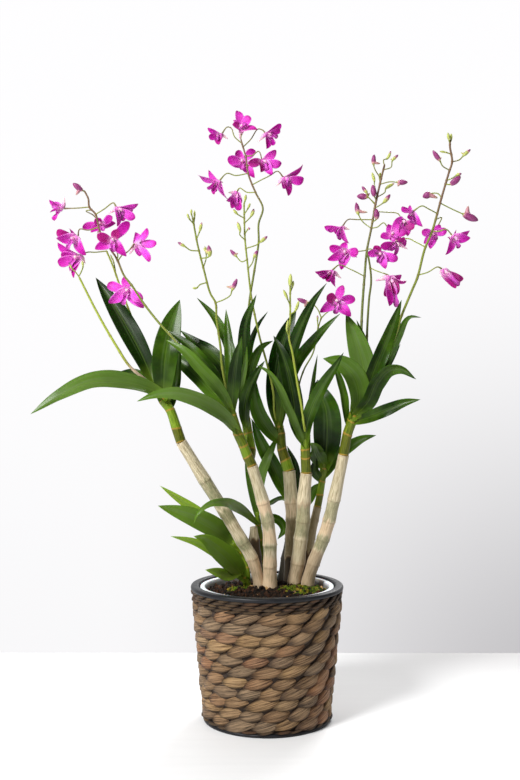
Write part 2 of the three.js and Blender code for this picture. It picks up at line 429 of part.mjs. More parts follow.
const POT_FLOOR = 1.9; // height of the underside of the nursery pot
const SLACK = GAP + 0.3; // between the facets of one pot's wall and those of the next

function turned(profile) {
  const points = profile.map(([radius, height]) => new THREE.Vector2(radius, height));
  return new THREE.LatheGeometry(points, SEGMENTS).rotateX(Math.PI / 2);
}

function basketRadius(height) {
  const share = (height - FOOT_RING_HEIGHT) / (LINER_HEIGHT - RIM_DEPTH - FOOT_RING_HEIGHT);
  return BASKET_FOOT + (BASKET_MOUTH - BASKET_FOOT) * share;
}

function linerSolid() {
  const clear = BASKET_WALL + SLACK;
  const underRim = LINER_HEIGHT - RIM_DEPTH;
  const floor = POT_FLOOR - GAP;
  return solidOf(turned([
    [0, 0],
    [FOOT_RING, 0],
    [FOOT_RING, FOOT_RING_HEIGHT],
    [basketRadius(FOOT_RING_HEIGHT) - clear, FOOT_RING_HEIGHT],
    [basketRadius(underRim) - clear, underRim],
    [LINER_RIM, underRim],
    [LINER_RIM, LINER_HEIGHT - 1.5],
    [LINER_RIM - 1.5, LINER_HEIGHT],
    [LINER_RIM - 7.4, LINER_HEIGHT],
    [basketRadius(underRim) - clear - LINER_WALL, underRim],
    [basketRadius(floor) - clear - LINER_WALL, floor],
    [0, floor],
  ]));
}

// The woven sleeve. Along the middle of each row every other point stands out, a strand's back, and the next
// lies low, where the strand dives behind its neighbour. The rows above and below are half a strand on.
function basketSolid() {
  const low = FOOT_RING_HEIGHT + GAP;
  const high = LINER_HEIGHT - RIM_DEPTH - GAP;
  const ringAt = (height, relief) => Array.from({ length: SEGMENTS }, (_, i) => {
    const turn = (2 * Math.PI * i) / SEGMENTS;
    const radius = basketRadius(height) + relief(i);
    return new THREE.Vector3(radius * Math.sin(turn), -radius * Math.cos(turn), height);
  });
  const isRaised = (i, row) => (i + row) % 2 === 0;
  const rings = [ringAt(low, () => 0)];
  for (let row = 0; row < STRAND_ROWS; row += 1) {
    const height = low + ((high - low) * (row + 0.5)) / STRAND_ROWS;
    rings.push(ringAt(height, (i) => (isRaised(i, row) ? STRAND_RELIEF : -STRAND_RELIEF / 2)));
  }
  rings.push(ringAt(high, () => 0));
  const beyond = 5;
  const bore = [
    [0, low - beyond],
    [basketRadius(low - beyond) - BASKET_WALL, low - beyond],
    [basketRadius(high + beyond) - BASKET_WALL, high + beyond],
    [0, high + beyond],
  ];
  return lofted(rings, (i, row) => isRaised(i, row + 1)).subtract(solidOf(turned(bore)));
}

function nurseryPotSolid() {
  return solidOf(turned([
    [0, POT_FLOOR],
    [POT_FOOT, POT_FLOOR],
    [POT_MOUTH + 0.6, POT_TOP - POT_LIP_DEPTH],
    [POT_LIP, POT_TOP - POT_LIP_DEPTH],
    [POT_LIP - 0.6, POT_TOP],
    [POT_MOUTH + 0.8, POT_TOP],
    [POT_MOUTH - 0.6, POT_TOP - POT_LIP_DEPTH - POT_WALL],
    [POT_FOOT - POT_WALL, POT_FLOOR + POT_WALL],
    [0, POT_FLOOR + POT_WALL],
  ]));
}

// The mix mounds up to the clump, with lumps by a sum of waves, and has a hole for each foot in it.
function mixSolid(feet) {
  const floor = POT_FLOOR + POT_WALL + GAP;
  const edge = POT_MOUTH - 1 - SLACK;
  const rings = [1, 0.66, 0.33, 0];
  const top = rings.map((share) => [edge * share, SOIL_EDGE + SOIL_MOUND * Math.cos((share * Math.PI) / 2)]);
  const mound = turned([[0, floor], [POT_FOOT - POT_WALL - SLACK, floor], ...top]);
  const spots = mound.getAttribute('position');
  for (let i = 0; i < spots.count; i += 1) {
    const [x, y, z] = [spots.getX(i), spots.getY(i), spots.getZ(i)];
    const lump = Math.sin(x * 0.31 + 1.2) * Math.cos(y * 0.27) + 0.6 * Math.sin(x * 0.13 - y * 0.45);
    if (z > SOIL_EDGE && Math.hypot(x, y) < edge - 1) spots.setZ(i, z + lump);
  }
  return cutBy(solidOf(mound), feet);
}

// ---- Canes, necks and leaves ----

const growth = (places) => curveThrough(places.map(placed));

// The curve of what grows from one of the stems given: its foot is moved onto the middle of the nearest.
function growthFrom(stems, places) {
  const points = places.map(placed);
  const [foot] = points;
  const spots = stems.flatMap((stem) => stem.getPoints(120));
  points[0] = spots.reduce((best, spot) => (spot.distanceTo(foot) < best.distanceTo(foot) ? spot : best));
  return curveThrough(points);
}

// A cane or shoot goes straight down into the mix from its first place.
function rootedGrowth(places) {
  const points = places.map(placed);
  return curveThrough([points[0].clone().add(new THREE.Vector3(0, 0, -ROOTED)), ...points]);
}

// A swelling at each node, and a waist between them.
function jointed(radii) {
  const waist = (i) => 0.93 * (radii[i - 1] + radii[i]) / 2;
  return evenly(radii.flatMap((radius, i) => (i === 0 ? [radius] : [waist(i), radius])));
}

const radiiOf = (places) => places.map((place) => place[3]);

function caneSolid(name) {
  const radii = radiiOf(CANES[name]);
  return rod(rootedGrowth(CANES[name]), jointed([radii[0] * 0.9, ...radii]), CANE_SIDES);
}

// The hole in the mix that a cane or shoot stands in.
function footHole(places) {
  const radius = (places[0][3] + SOCKET_FIT) / Math.cos(Math.PI / HOLE_SIDES);
  const curve = rootedGrowth(places);
  const base = placed(places[0]);
  const deep = base.clone().add(new THREE.Vector3(0, 0, -ROOTED - GAP));
  const above = curve.getPoint(1.5 / places.length);
  return rod(curveThrough([deep, base, above]), evenly([radius, radius, radius + 0.5]), HOLE_SIDES);
}

// A neck stands on the flat end of its cane.
function neckSolid(name) {
  const way = rootedGrowth(CANES[name]).getTangent(1);
  const points = NECKS[name].map(placed);
  points[0].addScaledVector(way, GAP);
  return rod(curveThrough(points), evenly(radiiOf(NECKS[name])), NECK_SIDES, way);
}

// A leaf widens from a narrow foot to its middle and tapers to its tip.
function leafWidths(width, steps) {
  const widest = 0.45;
  return Array.from({ length: steps + 1 }, (_, step) => {
    const along = step / steps;
    const foot = 0.42 + 0.58 * Math.sin((Math.min(1, along / widest) * Math.PI) / 2);
    return width * foot * (1 - Math.max(0, (along - widest) / (1 - widest)) ** 2.2);
  });
}

function leafSolid([, width, rollFoot, rollTip, places], stems) {
  const facing = (along, tangent) => rolledFacing(tangent, radians(rollFoot + (rollTip - rollFoot) * along));
  const curve = growthFrom(stems, places);
  const steps = curve.getLength() > LONG_LEAF ? 5 : 4;
  return blade(curve, leafWidths(width, steps), facing, BLADE, LEAF_FOLD);
}

function leavesOn(name, stems) {
  return LEAVES.filter((leaf) => leaf[0] === name).map((leaf) => leafSolid(leaf, stems));
}

// The hole in a leafy top that a spike's stem rises from, as far as the stem's third place.
function stemHole([radius, places]) {
  const stations = [0, 1, 2].map((i) => [i / (places.length - 1), radius + SOCKET_FIT]);
  return rod(growth(places), stations, STEM_SIDES);
}

function leafyTopSolid(name) {
  const parts = [neckSolid(name)];
  const stems = [growth(NECKS[name])];
  if (name === 'b') {
    parts.push(rod(growth(FORK), evenly(radiiOf(FORK)), NECK_SIDES));
    stems.push(growth(FORK));
  }
  return largest(cutBy(joined([...parts, ...leavesOn(name, stems)]), STEMS.map(stemHole)));
}

function shootSolid(name) {
  const stems = SHOOTS[name].map((places) => {
    const radii = radiiOf(places);
    return rod(rootedGrowth(places), evenly([radii[0], ...radii]), NECK_SIDES);
  });
  return joined([...stems, ...leavesOn(name, SHOOTS[name].map(rootedGrowth))]);
}

// ---- Flower spikes ----

function stemSolid([radius, places]) {
  const stations = evenly(places.map((_, i) => radius * (1 - (0.35 * i) / places.length)));
  stations[0][0] = 0.1 / places.length;
  return rod(growth(places), stations, STEM_SIDES);
}

// A bud on its stalk: thin as far as the last place but one, and then the bud to its tip.
function budSolid([number, radius, places]) {
  const last = places.length - 2;
  const stations = places.slice(0, -1).map((_, i) => [i / (last + 1), STALK]);
  stations.push([(last + 0.35) / (last + 1), radius]);
  if (radius > 1.5) stations.push([(last + 0.72) / (last + 1), radius * 0.7]);
  stations.push([1, 0]);
  return rod(growthFrom([growth(STEMS[number - 1][1])], places), stations, STEM_SIDES);
}

// A bloom's own frame. `at` gives the point that lies so far ahead, outward and sideways of its middle, in
// the direction that `turn` degrees clockwise from its upper side is.
function bloomFrame([, centre, facing, spin, , sizeSeen]) {
  const size = sizeSeen * (1 + centre[2] / -EYE.y);
  const ahead = new THREE.Vector3(...facing).normalize();
  const up = new THREE.Vector3(0, 0, 1);
  up.addScaledVector(ahead, -up.dot(ahead)).normalize().applyAxisAngle(ahead, -radians(spin));
  const right = up.clone().cross(ahead);
  const middle = placed(centre);
  const radial = (turn) => up.clone().multiplyScalar(Math.cos(radians(turn)))
    .addScaledVector(right, Math.sin(radians(turn)));
  const at = (forward, outward, turn, sideways = 0) => middle.clone().addScaledVector(ahead, forward * size)
    .addScaledVector(radial(turn), outward * size).addScaledVector(radial(turn + 90), sideways * size);
  return { ahead, at };
}

// The stalk of a bloom, from its place on the stem to just behind the bloom.
function stalkSolid(bloom) {
  const { ahead, at } = bloomFrame(bloom);
  const { points } = growthFrom([growth(STEMS[bloom[0] - 1][1])], bloom[6]);
  points.push(at(-CHIN, 0, 0).addScaledVector(ahead, -GAP));
  return rod(curveThrough(points), evenly(points.map(() => STALK)), STEM_SIDES);
}

function spikeSolid(number) {
  const buds = BUDS.filter((bud) => bud[0] === number).map(budSolid);
  const stalks = BLOOMS.filter((bloom) => bloom[0] === number).map(stalkSolid);
  return joined([stemSolid(STEMS[number - 1]), ...buds, ...stalks]);
}

// A bloom is one star. Each tepal has the points of its midrib in front and behind, shares the points of its
// edges between the two faces, and shares a notch with each neighbour. In the middle the front rises to the
// column and the back runs out to the chin.
function bloomSolid(bloom) {
  const { at } = bloomFrame(bloom);
  const count = TEPALS.length;
  const points = [at(COLUMN, 0, 0), at(-CHIN, 0, 0)];
  const faces = [];
  TEPALS.forEach(([turn], i) => {
    const next = TEPALS[(i + 1) % count][0] + (i + 1 === count ? 360 : 0);
    points.push(at(0, NOTCH, (turn + next) / 2));
  });
  TEPALS.forEach(([turn, length, width, folded, share], i) => {
    const spread = radians(bloom[4] * share);
    const curled = Math.min(1, Math.sin(radians(bloom[4])) / Math.sin(radians(60)));
    const spot = (along, lift, sideways = 0) => {
      const over = lift - RECURVE * (along / length) ** 2;
      const forward = along * Math.cos(spread) + over * Math.sin(spread);
      return at(forward, along * Math.sin(spread) - over * Math.cos(spread), turn, sideways);
    };
    const first = points.length;
    const thick = TEPAL_THICKNESS / 2;
    points.push(spot(NOTCH, thick), spot(NOTCH, -2 * thick));
    for (const [near, wide] of [[0.42, 1], [0.76, 0.86]]) {
      const half = (wide * width * curled) / 2;
      const along = near * length;
      points.push(spot(along, thick), spot(along, -thick));
      points.push(spot(along, folded * half, -half), spot(along, folded * half, half));
    }
    points.push(spot(length, 0));
    const [left1, right1, left2, right2, tip] = [4, 5, 8, 9, 10].map((offset) => first + offset);
    const rightNotch = 2 + i;
    const leftNotch = 2 + ((i + count - 1) % count);
    for (const back of [0, 1]) {
      const [centre, root, rib1, rib2] = [back, first + back, first + 2 + back, first + 6 + back];
      const front = [
        [centre, root, leftNotch], [centre, rightNotch, root], [leftNotch, root, rib1],
        [root, rightNotch, rib1], [leftNotch, rib1, left1], [rightNotch, right1, rib1],
        [left1, rib1, left2], [rib1, rib2, left2], [rib1, right1, right2], [rib1, right2, rib2],
        [left2, rib2, tip], [rib2, right2, tip],
      ];
      faces.push(...front.flatMap((corners) => (back ? corners.reverse() : corners)));
    }
  });
  return solidFrom(points, faces);
}

// ---- Colours, and the assembly ----

const finish = (color, roughness) => new THREE.MeshStandardMaterial({ color, roughness, metalness: 0 });
const weave = finish(0x6b5a4c, 0.9);
const blackPlastic = finish(0x26282b, 0.5);
const whitePlastic = finish(0xe8ebef, 0.45);
const mix = finish(0x2c2118, 1);
const papery = finish(0xc9baa2, 0.8);
const leafGreen = finish(0x3f6b22, 0.45);
const stemGreen = finish(0x7a8a34, 0.6);
const petalPink = finish(0xc01cae, 0.55);

const orchid = new THREE.Group();

function add(name, solid, material) {
  const { vertProperties, triVerts } = solid.getMesh();
  const geometry = new THREE.BufferGeometry();
  geometry.setAttribute('position', new THREE.BufferAttribute(new Float32Array(vertProperties), 3));
  geometry.setIndex(new THREE.BufferAttribute(new Uint32Array(triVerts), 1));
  geometry.computeVertexNormals();
  const mesh = new THREE.Mesh(geometry, material);
  mesh.name = name;
  orchid.add(mesh);
}

const rooted = [...Object.values(CANES), ...Object.values(SHOOTS).flat()];
add('basket', basketSolid(), weave);
add('liner', linerSolid(), blackPlastic);
add('nursery_pot', nurseryPotSolid(), whitePlastic);
add('potting_mix', mixSolid(rooted.map(footHole)), mix);
for (const name of Object.keys(CANES)) add(`cane_${name}`, caneSolid(name), papery);
for (const name of Object.keys(NECKS)) add(`leafy_top_${name}`, leafyTopSolid(name), leafGreen);
for (const name of Object.keys(SHOOTS)) add(`${name}_shoot`, shootSolid(name), leafGreen);
STEMS.forEach((_, i) => add(`spike_${i + 1}`, spikeSolid(i + 1), stemGreen));

// Two blooms that press together are one piece.
const blooms = BLOOMS.map(bloomSolid);
const [PRESSED, AGAINST] = [23, 22];
blooms[AGAINST - 1] = blooms[AGAINST - 1].add(blooms[PRESSED - 1]);
blooms.forEach((bloom, i) => {
  if (i + 1 !== PRESSED) add(`bloom_${i + 1}`, bloom, petalPink);
});

export default orchid;
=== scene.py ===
# %% [markdown]
# # A dendrobium orchid in its pot
#
# Papery canes stand in potting mix and carry leafy green tops, and from those rise thin flower spikes with
# buds and open blooms. A white nursery pot holds the mix. It stands in a black liner, with a sleeve of
# twined water hyacinth round it. The plain solids of all of that come from a CAD model. This lesson gives
# each of them the form and the finish of the real thing.
#
# The first cell opens the CAD model as a fixed frame. Its solids lie in metres, with Z up, -Y to the front
# and the table at height 0. Every finer piece is made in that same space, so its object stays at the origin.

# %% Open the frame
import math
import random

import bmesh
import bpy
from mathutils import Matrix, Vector, noise


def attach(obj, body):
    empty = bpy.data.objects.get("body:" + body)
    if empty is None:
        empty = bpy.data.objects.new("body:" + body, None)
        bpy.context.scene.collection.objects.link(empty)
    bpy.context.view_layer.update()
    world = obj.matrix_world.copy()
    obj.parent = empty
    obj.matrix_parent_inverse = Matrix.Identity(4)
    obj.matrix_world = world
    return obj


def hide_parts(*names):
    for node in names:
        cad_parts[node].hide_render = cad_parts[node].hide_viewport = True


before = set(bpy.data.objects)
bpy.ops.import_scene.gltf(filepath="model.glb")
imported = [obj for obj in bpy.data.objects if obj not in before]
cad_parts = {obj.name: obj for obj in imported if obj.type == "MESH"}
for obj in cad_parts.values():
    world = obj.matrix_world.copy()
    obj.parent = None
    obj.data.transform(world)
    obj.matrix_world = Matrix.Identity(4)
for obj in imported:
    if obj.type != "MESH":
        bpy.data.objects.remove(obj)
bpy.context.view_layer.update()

# %% [markdown]
# ## Camera, table and light
#
# The camera comes first, because places on the plant are given as someone sees them from there. It looks
# level at the plant from almost a metre away, so the pot is seen a little from above and the flowers a
# little from below. The lens is given by its picture angle: 1020 picture points for each unit of slope.

# %% The camera
EYE = Vector((-0.0067, -0.970, 0.311))
SENSOR = 36.0  # mm along the long side of the picture
POINTS_LONG = 780  # picture points along that side
POINTS_A_SLOPE = 1020


def added(name, data):
    """A new object in the scene."""
    made = bpy.data.objects.new(name, data)
    bpy.context.scene.collection.objects.link(made)
    return made


lens = bpy.data.cameras.new("camera")
lens.sensor_width = SENSOR
lens.lens = POINTS_A_SLOPE * SENSOR / POINTS_LONG
camera = added("camera", lens)
camera.location = EYE
camera.rotation_euler = (math.pi / 2, 0, 0)
bpy.context.scene.camera = camera
print("lens", round(lens.lens, 1), "mm")

# %% [markdown]
# A finish is a small tree of shader nodes, and so is a Geometry Nodes recipe. Wiring them by hand makes
# long and dull code. Here one class adds any node from its type, its settings and its sockets. Another
# wraps a socket, so that ordinary Python sums on it add the Math nodes.

# %% Nodes from plain Python
class Value:
    """A socket that Python's operators work on: a sum or product of sockets adds a Math node."""

    def __init__(self, nodes, socket):
        self.nodes, self.socket = nodes, socket

    def math(self, operation, *values):
        return self.nodes.math(operation, *values)

    def __add__(self, other):
        return self.math("ADD", self, other)

    def __sub__(self, other):
        return self.math("SUBTRACT", self, other)

    def __rsub__(self, other):
        return self.math("SUBTRACT", other, self)

    def __mul__(self, other):
        return self.math("MULTIPLY", self, other)

    def __truediv__(self, other):
        return self.math("DIVIDE", self, other)

    def __pow__(self, other):
        return self.math("POWER", self, other)

    __radd__ = __add__
    __rmul__ = __mul__

    def sine(self):
        return self.math("SINE", self)

    def cosine(self):
        return self.math("COSINE", self)

    def size(self):
        return self.math("ABSOLUTE", self)

    def whole(self):
        return self.math("FLOOR", self)

    def over(self, least):
        return self.math("MAXIMUM", self, least)

    def under(self, most):
        return self.math("MINIMUM", self, most)

    def between(self, low, high):
        """0 at low and 1 at high, with a soft start and end."""
        settings = {"interpolation_type": "SMOOTHSTEP"}
        return self.nodes.node("ShaderNodeMapRange", settings, {0: self, 1: low, 2: high})


class Nodes:
    """A tree of nodes, each added by the one method here."""

    def __init__(self, tree):
        self.tree = tree

    def node(self, kind, settings=None, sockets=None, output=0):
        made = self.tree.nodes.new(kind)
        for name, setting in (settings or {}).items():
            setattr(made, name, setting)
        shown = [socket for socket in made.inputs if socket.enabled]
        named = {socket.name: socket for socket in reversed(shown)}
        for key, value in (sockets or {}).items():
            socket = shown[key] if isinstance(key, int) else named[key]
            if isinstance(value, Value):
                self.tree.links.new(value.socket, socket)
            else:
                socket.default_value = value
        results = [socket for socket in made.outputs if socket.enabled]
        if isinstance(output, str):
            return Value(self, next(socket for socket in results if socket.name == output))
        return Value(self, results[output] if results else None)

    def math(self, operation, *values):
        return self.node("ShaderNodeMath", {"operation": operation}, dict(enumerate(values)))

    def parts(self, vector):
        split = self.node("ShaderNodeSeparateXYZ", None, {0: vector})
        return [Value(self, socket) for socket in split.socket.node.outputs]


print("operators:", sorted(name for name in vars(Value) if name.startswith("__") and name != "__init__"))

# %% [markdown]
# Every finish uses the same few things: the skin values that a piece's points carry, noise on them, a blend
# of two colours, and a bump. The finish of a plant is never even, so almost every colour below is a blend
# by some noise. Only colour, roughness and the normal change over a surface. The rest are fixed numbers.

# %% The finish class
class Finish(Nodes):
    """A material with one Principled shader, and short words for the nodes that these finishes share."""

    def __init__(self, name, **fixed):
        self.material = bpy.data.materials.new(name)
        self.material.use_nodes = True
        super().__init__(self.material.node_tree)
        self.tree.nodes.clear()
        sockets = {word.replace("_", " ").title().replace("Ior", "IOR"): fixed[word] for word in fixed}
        self.shader = self.node("ShaderNodeBsdfPrincipled", None, sockets)
        self.node("ShaderNodeOutputMaterial", None, {"Surface": self.shader})

    def drive(self, name, value):
        """Sets what varies over the surface."""
        socket = self.shader.socket.node.inputs[name]
        if isinstance(value, Value):
            self.tree.links.new(value.socket, socket)
        else:
            socket.default_value = value

    def carried(self, name, output="Vector"):
        """A value that the piece's points carry."""
        return self.node("ShaderNodeAttribute", {"attribute_name": name}, output=output)

    def stretched(self, vector, x, y, z):
        settings = {"operation": "MULTIPLY"}
        return self.node("ShaderNodeVectorMath", settings, {0: vector, 1: (x, y, z)})

    def place(self):
        return self.node("ShaderNodeTexCoord", output="Object")

    def noise(self, vector, scale, detail=3.0, roughness=0.5, distortion=0.0):
        sockets = {"Vector": vector, "Scale": scale, "Detail": detail, "Roughness": roughness}
        sockets["Distortion"] = distortion
        return self.node("ShaderNodeTexNoise", None, sockets)

    def cells(self, vector, scale):
        return self.node("ShaderNodeTexVoronoi", None, {"Vector": vector, "Scale": scale})

    def blend(self, share, one, other):
        one, other = [(*c, 1.0) if isinstance(c, tuple) else c for c in (one, other)]
        sockets = {"Factor": share, "A": one, "B": other}
        return self.node("ShaderNodeMix", {"data_type": "RGBA"}, sockets)

    def bump(self, height, distance, strength=1.0):
        sockets = {"Height": height, "Distance": distance, "Strength": strength}
        self.drive("Normal", self.node("ShaderNodeBump", None, sockets))


print("a finish can drive colour, roughness and the normal")

# %% [markdown]
# The plant stands on a plain white table, with a little painted shade that greys it to the back right. The
# backdrop glows by itself, almost white, with painted shade that falls to a soft grey low on the right.
# Neither is part of the object. Glowing keeps the backdrop's shade steady wherever the lamps are.

# %% Table and backdrop
TABLE_BACK, TABLE_REACH = 0.236, 1.6  # m behind the pot, and to the front and both sides
BACKDROP_LOW, BACKDROP_HIGH = (-5, 2.6, -3), (5, 2.6, 4)  # m, two of its corners


def flat_piece(name, low, high, finish):
    """A flat part of the stage, from one corner to the opposite one."""
    mesh = bpy.data.meshes.new(name)
    corners = [low, (high[0], *low[1:]), high, (low[0], *high[1:])]
    mesh.from_pydata(corners, [], [(0, 1, 2, 3)])
    mesh.materials.append(finish.material)
    piece = added(name, mesh)


white_table = Finish("white_table", roughness=0.6)
grain = white_table.noise(white_table.stretched(white_table.place(), 3, 60, 1), 2.0)
across, back, _ = white_table.parts(white_table.place())
# Painted shade: the white table greys a little to the back right, where the pot's shadow falls.
painted_table_shade = across.between(0.0, 0.25) * back.between(0.0, TABLE_BACK)
plain = white_table.blend(grain, (0.9, 0.9, 0.9), (0.96, 0.96, 0.96))
white_table.drive("Base Color", white_table.blend(painted_table_shade, plain, (0.66, 0.65, 0.65)))
flat_piece("table", (-TABLE_REACH, -TABLE_REACH, 0), (TABLE_REACH, TABLE_BACK, 0), white_table)

pale_backdrop = Finish("pale_backdrop", base_color=(0, 0, 0, 1), roughness=1.0, emission_strength=1.0)
across, _, up = pale_backdrop.parts(pale_backdrop.place())
# Painted shade: the glowing backdrop falls to a soft grey low on the right.
shade = (across.between(-0.6, 1.15) * 0.9 + 0.1) * (1 - up.between(-0.8, 1.45)) ** 2
pale_backdrop.drive("Emission Color", pale_backdrop.blend(shade, (0.99, 0.985, 0.995), (0.53, 0.52, 0.535)))
flat_piece("backdrop", BACKDROP_LOW, BACKDROP_HIGH, pale_backdrop)
print("table to", TABLE_BACK, "m behind the pot")

# %% [markdown]
# Soft studio light comes from large lamps. The key light stands high on the left and in front, a wide one
# fills from the right, and one over the back lights the leaves through. A white world fills the rest.

# %% Lamps
def lamp(name, place, target, width, power):
    light = bpy.data.lights.new(name, "AREA")
    light.shape = "DISK"
    light.size = width
    light.energy = power
    made = added(name, light)
    made.location = place
    made.rotation_euler = (Vector(target) - Vector(place)).to_track_quat("-Z", "Y").to_euler()


lamp("key_light", (-1.0, -1.2, 1.3), (0, 0, 0.3), 0.6, 46)
lamp("fill_light", (1.4, -1.2, 0.7), (0, 0, 0.3), 1.2, 2)
lamp("back_light", (0.5, 1.2, 1.3), (0, 0, 0.35), 0.8, 16)

world = bpy.data.worlds.new("white_room")
world.use_nodes = True
world.node_tree.nodes["Background"].inputs["Color"].default_value = (1, 1, 1, 1)
world.node_tree.nodes["Background"].inputs["Strength"].default_value = 0.17
bpy.context.scene.world = world
bpy.context.scene.view_settings.view_transform = "Standard"

# %% [markdown]
# ## Tools for growing things
#
# A cane, a stem or a leaf follows a line through a few places, as a bent wire would. A place is written as
# across, up and depth in millimetres: across and up as they look from the camera on the plane of the pot's
# middle, and depth behind that plane.

# %% Places and lines
MM = 0.001


def placed(place):
    across, up, depth = (value * MM for value in place[:3])
    spread = 1 - depth / EYE.y
    return Vector((EYE.x + (across - EYE.x) * spread, depth, EYE.z + (up - EYE.z) * spread))


def flowing(stops, at):
    """A smooth curve through stops of (place, value)."""
    if at <= stops[0][0]:
        return stops[0][1]
    for i, (end, _) in enumerate(stops[1:]):
        if at <= end:
            break
    else:
        return stops[-1][1]

    def slope(k):
        low, high = stops[max(0, k - 1)], stops[min(len(stops) - 1, k + 1)]
        return (high[1] - low[1]) / (high[0] - low[0])

    (start, one), (end, other) = stops[i], stops[i + 1]
    span = end - start
    t = (at - start) / span
    rise = (2 * t**3 - 3 * t**2 + 1) * one + (3 * t**2 - 2 * t**3) * other
    return rise + span * ((t**3 - 2 * t**2 + t) * slope(i) + (t**3 - t**2) * slope(i + 1))


class Way:
    """A smooth line through points, the same one as the CAD solids follow."""

    FINENESS = 30  # steps from one point to the next

    def __init__(self, points):
        self.knots = [2 * points[0] - points[1], *points, 2 * points[-1] - points[-2]]
        self.spans = len(points) - 1
        steps = self.FINENESS * self.spans
        self.shares = [i / steps for i in range(steps + 1)]
        self.fine = [self.spot(share) for share in self.shares]
        self.gone = [0.0]
        for one, other in zip(self.fine, self.fine[1:]):
            self.gone.append(self.gone[-1] + (other - one).length)
        self.length = self.gone[-1]

    def spot(self, share):
        part = min(int(share * self.spans), self.spans - 1)
        t = share * self.spans - part
        p0, p1, p2, p3 = self.knots[part:part + 4]
        gaps = [max(1e-6, math.sqrt((b - a).length)) for a, b in ((p0, p1), (p1, p2), (p2, p3))]
        leave = (p1 - p0) / gaps[0] - (p2 - p0) / (gaps[0] + gaps[1]) + (p2 - p1) / gaps[1]
        reach = (p2 - p1) / gaps[1] - (p3 - p1) / (gaps[1] + gaps[2]) + (p3 - p2) / gaps[2]
        bend = (t**3 - 2 * t**2 + t) * leave + (t**3 - t**2) * reach
        return (2 * t**3 - 3 * t**2 + 1) * p1 + (3 * t**2 - 2 * t**3) * p2 + gaps[1] * bend

    def length_at(self, share):
        return self.gone[round(share * (len(self.shares) - 1))]

    def after(self, length):
        """The point that far along, and the direction there."""
        low, high = 0, len(self.gone) - 1
        while high - low > 1:
            middle = (low + high) // 2
            if self.gone[middle] <= length:
                low = middle
            else:
                high = middle
        t = (length - self.gone[low]) / (self.gone[high] - self.gone[low])
        before, beyond = self.fine[max(0, low - 1)], self.fine[min(len(self.fine) - 1, high + 1)]
        return self.fine[low].lerp(self.fine[high], t), (beyond - before).normalized()

    def evenly(self, steps):
        return [(*self.after(self.length * i / steps), i / steps) for i in range(steps + 1)]

    def nearest(self, point):
        return min(self.fine, key=lambda spot: (spot - point).length_squared)


print("a place 10 mm right, 100 up and 50 behind is at", [round(c, 4) for c in placed((10, 100, 50))])

# %% [markdown]
# A mould gathers the points of one piece. Each point carries two values for its finish. Its skin says where
# it lies on the piece as if that were laid out straight, so that fibres and veins follow every bend. Its
# tint holds three shares, which a finish blends its colours by. Almost everything here is a loft: rings of
# points, one after another, closed at both ends.

# %% The mould
class Mould:
    """The points, faces, skin and tint of a piece, until it becomes a mesh."""

    def __init__(self):
        self.points, self.faces, self.skins, self.tints = [], [], [], []

    def loft(self, rings, looped=False):
        """Rings of (point, skin, tint). The last may be one point, a tip, or join the first."""
        count = len(rings[0])
        starts = []
        for ring in rings:
            starts.append(len(self.points))
            for point, skin, tint in ring:
                self.points.append(point)
                self.skins.append(skin)
                self.tints.append(tint)
        for low, high, ring in zip(starts, starts[1:], rings[1:]):
            for i in range(count):
                j = (i + 1) % count
                if len(ring) == 1:
                    self.faces.append((low + i, low + j, high))
                else:
                    self.faces.append((low + i, low + j, high + j, high + i))
        if looped:
            last, first = starts[-1], starts[0]
            for i in range(count):
                j = (i + 1) % count
                self.faces.append((last + i, last + j, first + j, first + i))
            return
        self.faces.append(tuple(range(starts[0] + count - 1, starts[0] - 1, -1)))
        if len(rings[-1]) > 1:
            self.faces.append(tuple(range(starts[-1], starts[-1] + count)))

    def made(self, name, finish, body="root"):
        mesh = bpy.data.meshes.new(name)
        mesh.from_pydata(self.points, [], self.faces)
        for word, values in (("skin", self.skins), ("tint", self.tints)):
            layer = mesh.attributes.new(word, "FLOAT_VECTOR", "POINT")
            layer.data.foreach_set("vector", [part for value in values for part in value])
        return finished(name, mesh, finish, body)


def finished(name, mesh, finish, body="root"):
    """Turns every face outwards, smooths the shading, and puts the piece on its CAD body."""
    work = bmesh.new()
    work.from_mesh(mesh)
    bmesh.ops.recalc_face_normals(work, faces=work.faces)
    work.to_mesh(mesh)
    work.free()
    mesh.shade_smooth()
    mesh.materials.clear()
    mesh.materials.append(finish.material)
    piece = added(name, mesh)
    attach(piece, body)
    return piece


def standing_for(piece, slot, *nodes):
    """The piece takes the place of these CAD nodes, which it hides. The slot is not used."""
    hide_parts(*nodes)
    return piece


print("skin and tint travel with every point")

# %% [markdown]
# A tube is a round loft along a line, with its radius as a function, so the same few lines make a cane with
# its rings, a stem and a bud. A frame that is carried from ring to ring without turning keeps the tube from
# twisting.

# %% Tubes
FRONT = Vector((0, -1, 0))


def tube(mould, way, steps, sides, radius, tint, closed_tip=False):
    """radius and tint are functions of length along the way, share of it, and angle round it."""
    normal = FRONT if abs(way.evenly(1)[0][1].y) < 0.9 else Vector((0, 0, 1))
    rings = []
    for middle, ahead, share in way.evenly(steps):
        length = share * way.length
        normal = (normal - ahead * normal.dot(ahead)).normalized()
        side = ahead.cross(normal)
        if closed_tip and share == 1:
            rings.append([(middle, (0, 0, length / MM), tint(length, share, 0))])
            continue
        ring = []
        for i in range(sides):
            turn = math.tau * i / sides
            out = normal * math.cos(turn) + side * math.sin(turn)
            reach = radius(length, share, turn)
            skin = (math.cos(turn), math.sin(turn), length / MM)
            ring.append((middle + out * reach, skin, tint(length, share, turn)))
        rings.append(ring)
    mould.loft(rings)


print("tubes ready")

# %% [markdown]
# A blade is a thin loft: leaves, sepals, petals and lips are all blades. Its ring has a row of points over
# the upper side and a row back under the lower side, so it is a closed body with a real thickness. The
# midrib is thickest, the edges are thin, and the two halves fold up from the midrib.

